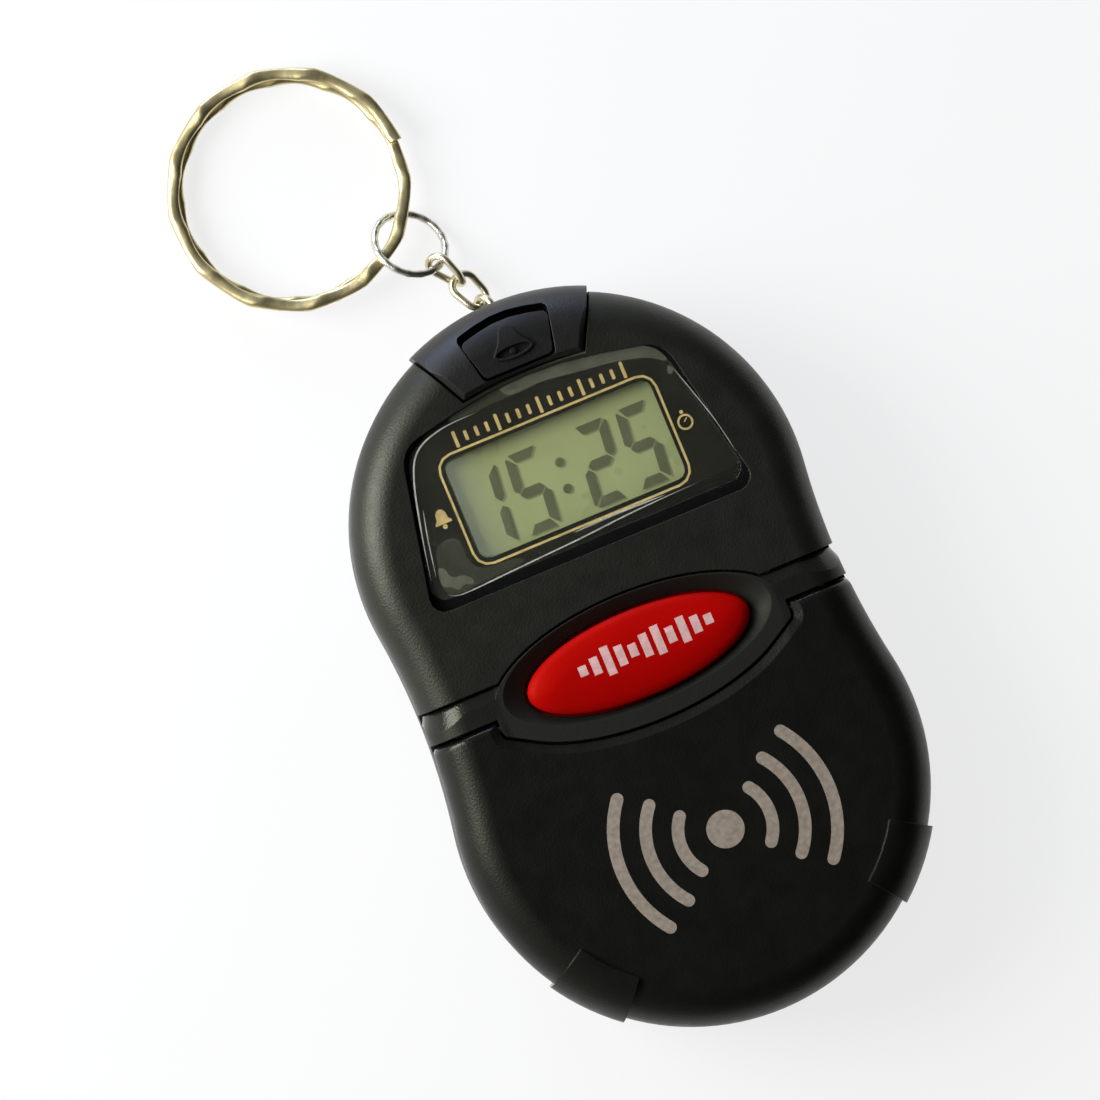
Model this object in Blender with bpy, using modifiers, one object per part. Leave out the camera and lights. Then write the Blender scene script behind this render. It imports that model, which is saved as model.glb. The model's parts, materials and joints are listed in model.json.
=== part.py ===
"""A talking keychain clock: a two-lobed case with a display, a talk button, an alarm key and a flip
cover, and a split key ring on a short chain. Metres, +Z out of the display, +Y towards the key ring.
The origin is on the back face, level with the lower edge of the waist band."""

import math

import bmesh
import bpy
from mathutils import Matrix, Vector

# Case outline: two round lobes and a gently hollow waist between them
UPPER_RADIUS = 0.0230
UPPER_CENTRE_Y = 0.01475
LOWER_RADIUS = 0.02385
LOWER_CENTRE_Y = -0.01365
WAIST_RADIUS = 0.070
LOBE_STEPS = 22
WAIST_STEPS = 4

# Case section
CASE_THICKNESS = 0.0160
FRONT_ROUND = 0.0040
BACK_ROUND = 0.0025
ROUND_STEPS = 4
WALL = 0.0016
FACE_WALL = 0.0020
PARTING_HEIGHT = 0.0080
SEAM = 0.00025
TONGUE_HEIGHT = 0.0007
TONGUE_INSET = 0.00095
FAR = 0.060
MERGE = 0.00001
MITRE_LIMIT = 0.5
CORNER_STEPS = 4
BOX_CORNER_STEPS = 3

# Waist band and oval bezel
BAND_TOP_Y = 0.00305
BAND_BOTTOM_Y = 0.0
BAND_CHAMFER = 0.0011
BAND_CHAMFER_DROP = 0.00045
BEZEL_CENTRE_Y = 0.0003
BEZEL_HALF_WIDTH = 0.0154
BEZEL_HALF_HEIGHT = 0.0064
SHOULDER_Y = -0.00135
SHOULDER_RADIUS = 0.0008
SHOULDER_SWEEP = 60
SHOULDER_BLEND_X = 0.0126
SHOULDER_STEPS = 3
BEZEL_STEPS = 20
BEZEL_LOWER_STEPS = 14
DISH_CENTRE_Y = 0.0011
DISH_HALF_WIDTH = 0.0142
DISH_HALF_HEIGHT = 0.0055
DISH_DEPTH = 0.0012
BUTTON_CENTRE_Y = 0.0007
BUTTON_HALF_WIDTH = 0.01175
BUTTON_HALF_HEIGHT = 0.0043
BUTTON_CROWN = 0.0006
BUTTON_EDGE_DROP = 0.0005
BUTTON_FLANGE = 0.0007
BUTTON_FLANGE_THICKNESS = 0.0007
BUTTON_STEM_RADIUS = 0.0025
BUTTON_STEPS = 28
BUTTON_CROWN_SHARES = (0.93, 0.78, 0.5, 0.2)

# Deck under the flip cover
LEDGE_HEIGHT = 0.0096
DECK_TOP = 0.0132
DECK_THICKNESS = 0.0010
DECK_INSET = 0.0026
DECK_WALL = 0.0010
DECK_CHAMFER = 0.0005

# Flip cover and its hinge
COVER_WALL = 0.0015
COVER_GAP = 0.0003
HINGE_RADIUS = 0.0008
HINGE_EDGE_GAP = 0.0002
HINGE_TURNS = (20, 45, 70, 90)
PIVOT_RADIUS = 0.0005
PIVOT_LENGTH = 0.0014
PIVOT_STEPS = 16
PIVOT_CLEARANCE = 0.0001
NOTCH_CHAMFER = 0.0009
NOTCH_CHAMFER_DROP = 0.0005
GRIP_PROUD = 0.0005
GRIP_START_ANGLE = 32
GRIP_END_ANGLE = 51
GRIP_INNER_RADIUS = 0.0195
GRIP_BASE = 0.0105

# Display window
LENS_BOTTOM_Y = 0.0117
LENS_BOTTOM_HALF_WIDTH = 0.0174
LENS_TOP_Y = 0.0282
LENS_TOP_HALF_WIDTH = 0.0140
LENS_PEAK_Y = 0.0311
LENS_CORNER = 0.0015
LENS_TOP_CORNER = 0.0030
LENS_TOP_RADIUS = 0.038
LENS_POCKET_DEPTH = 0.0012
LENS_THICKNESS = 0.0007
LENS_SIDE_GAP = 0.0004
LENS_BOTTOM_GAP = 0.0011
WINDOW_CENTRE_Y = 0.0202
WINDOW_WIDTH = 0.0234
WINDOW_HEIGHT = 0.0118
WINDOW_CORNER = 0.0016

# Top cap and alarm key
CAP_PROUD = 0.0006
CAP_APEX_Y = 0.0180
CAP_HALF_ANGLE = 27.3
CAP_BOTTOM_Y = 0.0303
CAP_BOTTOM_RISE = 0.0005
CAP_BOTTOM_STEPS = 6
CAP_BEVEL = 0.0005
KEY_BOTTOM_Y = 0.0313
KEY_TOP_Y = 0.0360
KEY_PEAK_RISE = 0.0006
KEY_TOP_RADIUS = 0.0110
KEY_BOTTOM_HALF_WIDTH = 0.0036
KEY_TOP_HALF_WIDTH = 0.0047
KEY_SLOT = 0.0008
KEY_CORNER = 0.0006
KEY_GAP = 0.0002
KEY_THICKNESS = 0.0018
KEY_SINK_ANGLE = 2.5
KEY_STEM_RADIUS = 0.0011
KEY_STEM_Y = 0.0330
BELL_RISE = 0.0003
BELL_MOUTH_Y = 0.0329
BELL_MOUTH_HALF_WIDTH = 0.0021
BELL_MOUTH_HALF_HEIGHT = 0.00075
BELL_TOP_Y = 0.0356
BELL_TOP_HALF_WIDTH = 0.0008
BELL_WAIST_Y = 0.0340
BELL_WAIST_HALF_WIDTH = 0.0012
BELL_LIP = 0.00025
CLAPPER_RADIUS = 0.0003
BELL_MOUTH_STEPS = 16
BELL_CROWN_STEPS = 4

# Parts inside, by height above the back
BOARD_BOTTOM = 0.0089
BOARD_THICKNESS = 0.0010
BOARD_INSET = 0.0039
PART_GAP = 0.0003
MAT_THICKNESS = 0.0005
MAT_DOME_HEIGHT = 0.0004
TALK_DOME_RADIUS = 0.0035
SET_DOME_RADIUS = 0.0018
DOME_FLAT_SHARE = 0.6
LCD_THICKNESS = 0.0011
LCD_MARGIN_X = 0.0013
LCD_MARGIN_Y = 0.0016
LCD_CORNER = 0.0005
HOLDER_CORNER = 0.0015
HOLDER_WALL = 0.0012
HOLDER_HEIGHT = 0.0033
ZEBRA_WIDTH = 0.0018
REFLECTOR_THICKNESS = 0.0003
CHIP_RADIUS = 0.0035
CHIP_HEIGHT = 0.0011
CHIP_SHOULDER_RADIUS = 0.0028
CHIP_SHOULDER_HEIGHT = 0.00077
CHIP_CROWN_RADIUS = 0.0014
CHIP_OVERHANG = 0.0039
CRYSTAL_RADIUS = 0.0010
CRYSTAL_LENGTH = 0.0060
CRYSTAL_PLACE = (0.0110, 0.0020)
CAPACITOR_RADIUS = 0.0020
CAPACITOR_LENGTH = 0.0060
CAPACITOR_PLACE = (-0.0110, 0.0020)
SWITCH_SIDE = 0.0034
SWITCH_OFFSET = 0.0010
SWITCH_HEIGHT = 0.0012
SWITCH_BUTTON_RADIUS = 0.0010
SWITCH_BUTTON_HEIGHT = 0.0006

# Setting keys on the deck
SET_KEY_COUNT = 4
SET_KEY_PITCH = 0.0080
SET_KEY_Y = -0.0150
SET_KEY_WIDTH = 0.0052
SET_KEY_DEPTH = 0.0034
SET_KEY_RISE = 0.0009
SET_KEY_CORNER = 0.0008
SET_KEY_FLANGE = 0.0005
SET_KEY_FLANGE_THICKNESS = 0.0006

# Speaker behind the grille
SPEAKER_Y = -0.0160
SPEAKER_RADIUS = 0.0142
SPEAKER_BASKET_RADIUS = 0.0085
SPEAKER_DEPTH = 0.0042
SPEAKER_RIM = 0.0008
MAGNET_RADIUS = 0.0065
MAGNET_HEIGHT = 0.0012
CONE_DEPTH = 0.0022
CONE_CENTRE_RADIUS = 0.0040
CONE_MARGIN = 0.0012
CONE_FILM_THICKNESS = 0.0003
SPEAKER_STEPS = 28
GASKET_WIDTH = 0.0016
GASKET_THICKNESS = 0.0005
SPEAKER_RIB = 0.0010
SPEAKER_RIB_HEIGHT = 0.0030
GRILLE_HOLE_RADIUS = 0.0008
GRILLE_PITCH = 0.0036
GRILLE_RINGS = 2

# Battery compartment in the back
CELL_RADIUS = 0.0058
CELL_HEIGHT = 0.0054
CELL_BEVEL = 0.00058
CELL_GAP = 0.0006
CELL_Y = 0.0150
DOOR_THICKNESS = 0.0012
DOOR_CORNER = 0.0015
DOOR_TONGUE = 0.0012
DOOR_EAR_RADIUS = 0.0026
DOOR_EAR_THICKNESS = 0.0006
COMPARTMENT_WALL = 0.0009
COMPARTMENT_ROOF = 0.00063
CONTACT_THICKNESS = 0.0002
CONTACT_CORNER = 0.00075
CONTACT_GAP = 0.0002

# Screws
BOSS_RADIUS = 0.0023
SCREW_RADIUS = 0.0010
SCREW_HEAD_RADIUS = 0.0017
SCREW_HEAD_HEIGHT = 0.0011
SCREW_CLEARANCE = 0.0003
SCREW_SHOULDER = 0.0034
SCREW_TIP = 0.0118
UPPER_BOSS = (0.0176, 0.0190)
LOWER_BOSS = (0.0159, -0.0237)
DOOR_SCREW_RADIUS = 0.0007
DOOR_SCREW_HEAD_RADIUS = 0.0013
DOOR_SCREW_HEAD_HEIGHT = 0.00045
DOOR_SCREW_LENGTH = 0.0034
SCREW_SEAT_GAP = 0.00005
SCREW_POINT_SHARE = 0.4
SCREW_DOME_SHARE = 0.7
RECESS_LENGTH_SHARE = 0.6
RECESS_WIDTH_SHARE = 0.12

# Chain anchor at the top of the case
PIN_RADIUS = 0.0005
PIN_X = 0.0009
PIN_Y = 0.0369
PIN_Z = 0.0027
PIN_SEAT = 0.0012
PIN_CLEARANCE = 0.0002
SLOT_WIDTH = 0.0030
SLOT_BOTTOM = 0.0008
SLOT_TOP = 0.0052
SLOT_DEPTH_Y = 0.0346

# Chain links
LINK_WIRE = 0.00038
LINK_WIDTH = 0.0033
LINK_LENGTH = 0.0048
LINK_BEND_STEPS = 6
WIRE_BEVEL_STEPS = 2
LINK_GAP = 0.00012
# Each link's heading in the plan, its climb and its roll about its own length, in degrees
LINK_TURNS = ((112, 0, -75), (114, 2, 18), (120, 8, -60))

# Small ring between the chain and the key ring
SMALL_RING_RADIUS = 0.0037
SMALL_RING_WIRE = 0.0004
SMALL_RING_CENTRE = (-0.0046, 0.0474, 0.00285)
SMALL_RING_TILT = 34
SMALL_RING_STEPS = 30

# Split key ring of nearly two turns: its two ends lie one strand apart
KEY_RING_RADIUS = 0.01175
KEY_RING_WIRE = 0.00078
KEY_RING_SCOOP = 0.00024
KEY_RING_THICKNESS = 0.00112
KEY_RING_TURN_GAP = 0.0003
KEY_RING_RIDGES = 13
KEY_RING_POINTS = 39
KEY_RING_HEADING = 133.05
KEY_RING_HANG = 0.00152
KEY_RING_Z = 0.0022
KEY_RING_TILT = 3.5
KEY_RING_START = 2
KEY_RING_STRAND_SWEEP = 64

for old in list(bpy.data.objects):
    bpy.data.objects.remove(old, do_unlink=True)

parts = bpy.data.collections.new("talking_keychain_clock")
cutters = bpy.data.collections.new("cutters")
for group in (parts, cutters):
    bpy.context.scene.collection.children.link(group)


# Materials


def material(name, colour, roughness, metallic=0.0):
    made = bpy.data.materials.new(name)
    made.use_nodes = True
    shader = made.node_tree.nodes["Principled BSDF"]
    shader.inputs["Base Color"].default_value = (*colour, 1.0)
    shader.inputs["Roughness"].default_value = roughness
    shader.inputs["Metallic"].default_value = metallic
    made.diffuse_color = (*colour, 1.0)
    return made


BLACK_PLASTIC = material("black_plastic", (0.035, 0.035, 0.033), 0.42)
RED_PLASTIC = material("red_plastic", (0.60, 0.012, 0.008), 0.30)
CLEAR_PLASTIC = material("clear_plastic", (0.75, 0.78, 0.74), 0.06)
DISPLAY_GLASS = material("display_glass", (0.33, 0.38, 0.27), 0.10)
WHITE_PLASTIC = material("white_plastic", (0.75, 0.75, 0.72), 0.45)
BOARD_GREEN = material("board_green", (0.03, 0.15, 0.07), 0.40)
EPOXY = material("black_epoxy", (0.02, 0.02, 0.02), 0.25)
RUBBER = material("grey_rubber", (0.25, 0.25, 0.26), 0.70)
FOAM = material("black_foam", (0.03, 0.03, 0.03), 0.90)
CONE_FILM = material("cone_film", (0.45, 0.40, 0.30), 0.50)
STEEL = material("steel", (0.60, 0.60, 0.58), 0.28, 1.0)
FERRITE = material("ferrite", (0.08, 0.08, 0.08), 0.55)
SPRING_METAL = material("nickel_strip", (0.65, 0.62, 0.55), 0.25, 1.0)
PALE_BRASS = material("pale_brass", (0.72, 0.66, 0.50), 0.22, 1.0)


# Outlines, each a list of (x, y) points run anticlockwise


def arc(centre_x, centre_y, radius, start, end, steps):
    """Points from start towards end, in degrees, without the end itself."""
    points = []
    for step in range(steps):
        angle = math.radians(start + (end - start) * step / steps)
        points.append((centre_x + radius * math.cos(angle), centre_y + radius * math.sin(angle)))
    return points


def ellipse(centre_y, half_width, half_height, steps):
    points = []
    for x, y in arc(0, 0, 1, 0, 360, steps):
        points.append((half_width * x, centre_y + half_height * y))
    return points


def case_outline(inset):
    """The case's edge, moved inwards by inset: its arcs keep their centres."""
    upper_reach = UPPER_RADIUS + WAIST_RADIUS
    lower_reach = LOWER_RADIUS + WAIST_RADIUS
    waist_y = upper_reach**2 - lower_reach**2 + LOWER_CENTRE_Y**2 - UPPER_CENTRE_Y**2
    waist_y /= 2 * (LOWER_CENTRE_Y - UPPER_CENTRE_Y)
    waist_x = math.sqrt(upper_reach**2 - (waist_y - UPPER_CENTRE_Y) ** 2)
    upper_turn = math.degrees(math.atan2(UPPER_CENTRE_Y - waist_y, waist_x))
    lower_turn = math.degrees(math.atan2(waist_y - LOWER_CENTRE_Y, waist_x))
    upper = UPPER_RADIUS - inset
    lower = LOWER_RADIUS - inset
    waist = WAIST_RADIUS + inset
    points = arc(0, UPPER_CENTRE_Y, upper, -upper_turn, 180 + upper_turn, LOBE_STEPS)
    points += arc(-waist_x, waist_y, waist, upper_turn, -lower_turn, WAIST_STEPS)
    points += arc(0, LOWER_CENTRE_Y, lower, 180 - lower_turn, 360 + lower_turn, LOBE_STEPS)
    points += arc(waist_x, waist_y, waist, 180 + lower_turn, 180 - upper_turn, WAIST_STEPS)
    return points


def rounded(corners, steps=CORNER_STEPS):
    """An outline with each corner (x, y, radius) turned into an arc."""
    points = []
    for index, (x, y, radius) in enumerate(corners):
        here = Vector((x, y))
        back = (Vector(corners[index - 1][:2]) - here).normalized()
        ahead = (Vector(corners[(index + 1) % len(corners)][:2]) - here).normalized()
        half = back.angle(ahead) / 2
        centre = here + (back + ahead).normalized() * radius / math.sin(half)
        first = here + back * radius / math.tan(half) - centre
        last = here + ahead * radius / math.tan(half) - centre
        turn = first.angle_signed(last)
        for step in range(steps + 1):
            spoke = Matrix.Rotation(-turn * step / steps, 2) @ first
            points.append(tuple(centre + spoke))
    return points


def rounded_box(centre_x, centre_y, width, height, corner):
    left, right = centre_x - width / 2, centre_x + width / 2
    low, high = centre_y - height / 2, centre_y + height / 2
    corners = [(left, low), (right, low), (right, high), (left, high)]
    return rounded([(x, y, corner) for x, y in corners], BOX_CORNER_STEPS)


def grown(points, distance):
    """The outline moved outwards by distance, or inwards where it is negative."""
    moved = []
    for index, point in enumerate(points):
        here = Vector(point)
        into = (here - Vector(points[index - 1])).normalized()
        out_of = (Vector(points[(index + 1) % len(points)]) - here).normalized()
        along = (into + out_of).normalized()
        reach = distance / max(along.dot(into), MITRE_LIMIT)
        moved.append((here.x + along.y * reach, here.y - along.x * reach))
    return moved


def bezel_outline():
    """An ellipse with upright shoulders where the cover's pivots sit."""
    upper = []
    for x, y in arc(0, 0, 1, 0, 180, BEZEL_STEPS):
        upper.append((BEZEL_HALF_WIDTH * x, BEZEL_CENTRE_Y + BEZEL_HALF_HEIGHT * y))
    upper.append((-BEZEL_HALF_WIDTH, BEZEL_CENTRE_Y))
    shoulder_x = BEZEL_HALF_WIDTH - SHOULDER_RADIUS
    left = arc(-shoulder_x, SHOULDER_Y, SHOULDER_RADIUS, 180, 180 + SHOULDER_SWEEP, SHOULDER_STEPS)
    right = [(-x, y) for x, y in reversed(left)]
    blend = math.degrees(math.acos(SHOULDER_BLEND_X / BEZEL_HALF_WIDTH))
    lower = []
    for x, y in arc(0, 0, 1, 180 + blend, 360 - blend, BEZEL_LOWER_STEPS):
        lower.append((BEZEL_HALF_WIDTH * x, BEZEL_CENTRE_Y + BEZEL_HALF_HEIGHT * y))
    lower.append((SHOULDER_BLEND_X, lower[0][1]))
    return upper + left + lower + right


# Building


def ring(points, height):
    return [(x, y, height) for x, y in points]


def place(obj, group):
    group.objects.link(obj)
    if group == cutters:
        obj.hide_render = True
        obj.display_type = "WIRE"
    return obj


def made_of(mesh_builder, name, finish, group):
    """An object from a bmesh, its faces turned outwards and shaded smooth between sharp edges."""
    bmesh.ops.recalc_face_normals(mesh_builder, faces=mesh_builder.faces)
    mesh = bpy.data.meshes.new(name)
    mesh_builder.to_mesh(mesh)
    mesh_builder.free()
    mesh.shade_smooth()
    mesh.set_sharp_from_angle(angle=math.radians(30))
    if finish:
        mesh.materials.append(finish)
    return place(bpy.data.objects.new(name, mesh), group)


def loft(name, rings, finish=None, group=cutters):
    """A closed solid through rings of equal count, with a flat cap at each end."""
    builder = bmesh.new()
    rows = [[builder.verts.new(point) for point in points] for points in rings]
    for lower, upper in zip(rows, rows[1:]):
        for index in range(len(lower)):
            builder.faces.new((lower[index - 1], lower[index], upper[index], upper[index - 1]))
    builder.faces.new(rows[0])
    builder.faces.new(rows[-1])
    return made_of(builder, name, finish, group)


def prism(name, points, low, high, finish=None, group=cutters):
    return loft(name, [ring(points, low), ring(points, high)], finish, group)


def cylinder(name, place_at, radius, low, high, finish=None, group=cutters, steps=16):
    """An upright cylinder at (x, y) from low to high."""
    builder = bmesh.new()
    bmesh.ops.create_cone(
        builder, cap_ends=True, segments=steps, radius1=radius, radius2=radius, depth=high - low
    )
    made = made_of(builder, name, finish, group)
    made.location = (*place_at, (low + high) / 2)
    return made


def box(name, low, high, finish=None, group=cutters):
    """A box between two opposite corners."""
    builder = bmesh.new()
    bmesh.ops.create_cube(builder, size=1)
    sides = [top - bottom for bottom, top in zip(low, high)]
    bmesh.ops.scale(builder, vec=sides, verts=builder.verts)
    made = made_of(builder, name, finish, group)
    made.location = [(bottom + top) / 2 for bottom, top in zip(low, high)]
    return made


def combine(target, other, operation):
    modifier = target.modifiers.new(f"{operation.lower()}_{other.name}", "BOOLEAN")
    modifier.operation = operation
    modifier.object = other
    return target


def cut(target, *others):
    for other in others:
        combine(target, other, "DIFFERENCE")
    return target


def join(target, *others):
    for other in others:
        combine(target, other, "UNION")
    return target


def keep(target, *others):
    for other in others:
        combine(target, other, "INTERSECT")
    return target


def set_pivot(obj, point):
    """Moves an object's origin to a point and leaves its shape where it is."""
    shift = Vector(point) - obj.location
    obj.data.transform(Matrix.Translation(-shift))
    obj.location = point
    return obj


def turned(name, profile, place_at, finish=None, group=cutters, steps=32):
    """A solid of revolution about an upright axis: the profile is (radius, height) from top to bottom."""
    mesh = bpy.data.meshes.new(name)
    points = [(radius, 0, height) for radius, height in profile]
    edges = [(index, index + 1) for index in range(len(points) - 1)]
    if profile[0][0] > 0:
        edges.append((len(points) - 1, 0))
    mesh.from_pydata(points, edges, [])
    if finish:
        mesh.materials.append(finish)
    made = place(bpy.data.objects.new(name, mesh), group)
    made.location = (*place_at, 0)
    screw = made.modifiers.new("turn", "SCREW")
    screw.steps = steps
    screw.render_steps = steps
    screw.use_merge_vertices = True
    screw.merge_threshold = MERGE
    screw.use_smooth_shade = True
    return made


def wire(name, points, radii, closed, finish):
    """A round wire through points, with a radius at each: the curve's own depth of 1 is multiplied by it."""
    curve = bpy.data.curves.new(name, "CURVE")
    curve.dimensions = "3D"
    curve.bevel_depth = 1.0
    curve.bevel_resolution = WIRE_BEVEL_STEPS
    curve.use_fill_caps = not closed
    spline = curve.splines.new("POLY")
    spline.points.add(len(points) - 1)
    for slot, point, radius in zip(spline.points, points, radii):
        slot.co = (*point, 1)
        slot.radius = radius
    spline.use_cyclic_u = closed
    curve.materials.append(finish)
    return place(bpy.data.objects.new(name, curve), parts)


# Case mouldings


def rounded_rise(top, radius, inset, steps=ROUND_STEPS):
    """(inset, height) pairs of a quarter round that ends flat at top."""
    pairs = []
    for step in range(steps + 1):
        angle = math.pi / 2 * step / steps
        pairs.append((inset + radius * (1 - math.cos(angle)), top - radius * (1 - math.sin(angle))))
    return pairs


def stepped(name, pairs, finish=None, group=cutters):
    """A solid through the case's outline at each (inset, height)."""
    return loft(name, [ring(case_outline(inset), height) for inset, height in pairs], finish, group)


def front_hull(name, base, proud=0.0, finish=None, group=cutters):
    """The outer form of the front, moved outwards by proud."""
    rise = rounded_rise(CASE_THICKNESS + proud, FRONT_ROUND + proud, -proud)
    return stepped(name, [(-proud, base)] + rise, finish, group)


FRONT_BASE = PARTING_HEIGHT + SEAM / 2
REAR_TOP = PARTING_HEIGHT - SEAM / 2
REBATE_INSET = TONGUE_INSET - PART_GAP
REBATE_TOP = REAR_TOP + TONGUE_HEIGHT + PART_GAP
CEILING = CASE_THICKNESS - FACE_WALL
LENS_TOP = CASE_THICKNESS - LENS_POCKET_DEPTH + PART_GAP + LENS_THICKNESS


def lens_corners(side, bottom, top):
    """The window's rounded trapezoid with each of its sides moved inwards."""
    low = LENS_BOTTOM_Y + bottom
    return [
        (-LENS_BOTTOM_HALF_WIDTH + side, low, LENS_CORNER),
        (LENS_BOTTOM_HALF_WIDTH - side, low, LENS_CORNER),
        (LENS_TOP_HALF_WIDTH - side, LENS_TOP_Y - top, LENS_TOP_CORNER),
        (0, LENS_PEAK_Y - top, LENS_TOP_RADIUS),
        (-LENS_TOP_HALF_WIDTH + side, LENS_TOP_Y - top, LENS_TOP_CORNER),
    ]


def cap_wedge(gap):
    """The top cap's outline: two rays from its apex and a low curved edge."""
    slope = math.tan(math.radians(CAP_HALF_ANGLE))
    low = CAP_BOTTOM_Y - gap
    spread = gap / math.cos(math.radians(CAP_HALF_ANGLE))
    low_half = (low - CAP_APEX_Y) * slope + spread
    high_half = (FAR - CAP_APEX_Y) * slope + spread
    bottom = []
    for step in range(CAP_BOTTOM_STEPS + 1):
        x = low_half * (2 * step / CAP_BOTTOM_STEPS - 1)
        bottom.append((x, low + CAP_BOTTOM_RISE * (1 - (x / low_half) ** 2)))
    return bottom + [(high_half, FAR), (-high_half, FAR)]


def upper_region(gap):
    """Everything above the waist band and its bezel, kept clear of them by gap."""
    low = BAND_TOP_Y + gap
    crest = [point for point in grown(bezel_outline(), gap) if point[1] > low]
    reach = BEZEL_HALF_WIDTH + gap
    fall = (low - BEZEL_CENTRE_Y) / (BEZEL_HALF_HEIGHT + gap)
    meet = reach * math.sqrt(1 - fall**2)
    right = [(meet, low), (FAR, low), (FAR, FAR), (-FAR, FAR), (-FAR, low), (-meet, low)]
    crest = [point for point in crest if abs(point[0]) < meet]
    return list(reversed(crest)) + right


def boss_places(place_at):
    return [(place_at[0], place_at[1]), (-place_at[0], place_at[1])]


def front_room(name):
    """The space inside the front, with a rebate for the rear's tongue."""
    rebate = [(REBATE_INSET, 0), (REBATE_INSET, REBATE_TOP), (WALL, REBATE_TOP)]
    return stepped(name, rebate + rounded_rise(CEILING, FRONT_ROUND - WALL, WALL))


def make_front_shell():
    shell = front_hull("front_shell", FRONT_BASE, finish=BLACK_PLASTIC, group=parts)
    keep(shell, prism("front_region", upper_region(SEAM), 0, FAR))
    cut(shell, front_room("front_cavity"))
    pocket_floor = CASE_THICKNESS - LENS_POCKET_DEPTH
    cut(shell, prism("lens_pocket", rounded(lens_corners(0, 0, 0)), pocket_floor, FAR))
    window = rounded_box(0, WINDOW_CENTRE_Y, WINDOW_WIDTH, WINDOW_HEIGHT, WINDOW_CORNER)
    cut(shell, prism("window_hole", window, CEILING - WALL, FAR))
    cut(shell, prism("cap_opening", cap_wedge(SEAM), 0, FAR))
    add_front_bosses(shell, UPPER_BOSS, CEILING)
    return shell


def add_front_bosses(shell, place_at, ceiling):
    """Tubes that the case screws are driven into."""
    low = FRONT_BASE
    for side, spot in zip("ab", boss_places(place_at)):
        name = f"{shell.name}_boss_{side}"
        join(shell, cylinder(name, spot, BOSS_RADIUS, low, ceiling + FACE_WALL / 2, steps=16))
        bore = SCREW_RADIUS + SCREW_CLEARANCE
        cut(shell, cylinder(f"{name}_bore", spot, bore, 0, SCREW_TIP + SCREW_CLEARANCE, steps=12))


def waist_sleeve(name, rows):
    """A tunnel along Y around the waist: at each (y, drop) its section is the front's, drawn in by drop."""
    half_width = max(x for x, y in case_outline(0) if BAND_BOTTOM_Y - WALL < y < BAND_TOP_Y + WALL)
    rings = []
    for y, drop in rows:
        radius = FRONT_ROUND - min(drop, 0)
        side = half_width - drop - radius
        top = CASE_THICKNESS - drop - radius
        section = [(half_width - drop, y, -FAR)]
        section += [(x, y, z) for x, z in arc(side, top, radius, 0, 90, ROUND_STEPS * 2)]
        section += [(x, y, z) for x, z in arc(-side, top, radius, 90, 180, ROUND_STEPS * 2)]
        section += [(-half_width + drop, y, top), (-half_width + drop, y, -FAR)]
        rings.append(section)
    return loft(name, rings)


def make_centre_frame():
    """The waist band and bezel, in one moulding with the deck under the cover."""
    frame = front_hull("centre_frame", FRONT_BASE, finish=BLACK_PLASTIC, group=parts)
    keep(frame, box("frame_region", (-FAR, -FAR, 0), (FAR, BAND_TOP_Y, FAR)))
    rise = [(DECK_INSET, DECK_TOP - DECK_CHAMFER), (DECK_INSET + DECK_CHAMFER, DECK_TOP)]
    cover_room = box("cover_room", (-FAR, -FAR, LEDGE_HEIGHT), (FAR, BAND_BOTTOM_Y, FAR))
    cut(frame, cut(cover_room, stepped("deck", [(DECK_INSET, FRONT_BASE)] + rise)))
    slope = BAND_CHAMFER_DROP / BAND_CHAMFER
    chamfer_start = BAND_TOP_Y - BAND_CHAMFER
    rows = [(-FAR, -slope * (FAR + chamfer_start)), (BAND_TOP_Y + WALL, slope * (BAND_CHAMFER + WALL))]
    keep(frame, waist_sleeve("band_chamfer", rows))
    underside = DECK_TOP - DECK_THICKNESS
    bezel = front_hull("bezel", FRONT_BASE)
    join(frame, keep(bezel, prism("bezel_region", bezel_outline(), underside, FAR)))
    inner = DECK_INSET + DECK_WALL
    cavity = [(REBATE_INSET, 0), (REBATE_INSET, REBATE_TOP), (inner, REBATE_TOP), (inner, underside)]
    cut(frame, stepped("frame_cavity", cavity))
    cut_button_well(frame)
    for index in range(SET_KEY_COUNT):
        hole = set_key_outline(index, PART_GAP)
        cut(frame, prism(f"set_key_hole_{index + 1}", hole, underside - WALL, FAR))
    add_front_bosses(frame, LOWER_BOSS, underside)
    for side in (-1, 1):
        reach = BEZEL_HALF_WIDTH + HINGE_RADIUS
        bore_length = PIVOT_LENGTH + reach - pivot_seat() + PIVOT_CLEARANCE * 2
        bore = pivot_bar(f"pivot_hole_{side}", side, reach, bore_length)
        bore_scale = (PIVOT_RADIUS + PIVOT_CLEARANCE) / PIVOT_RADIUS
        bore.data.transform(Matrix.Diagonal((1, bore_scale, bore_scale, 1)))
        cut(frame, bore)
    return frame


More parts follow.
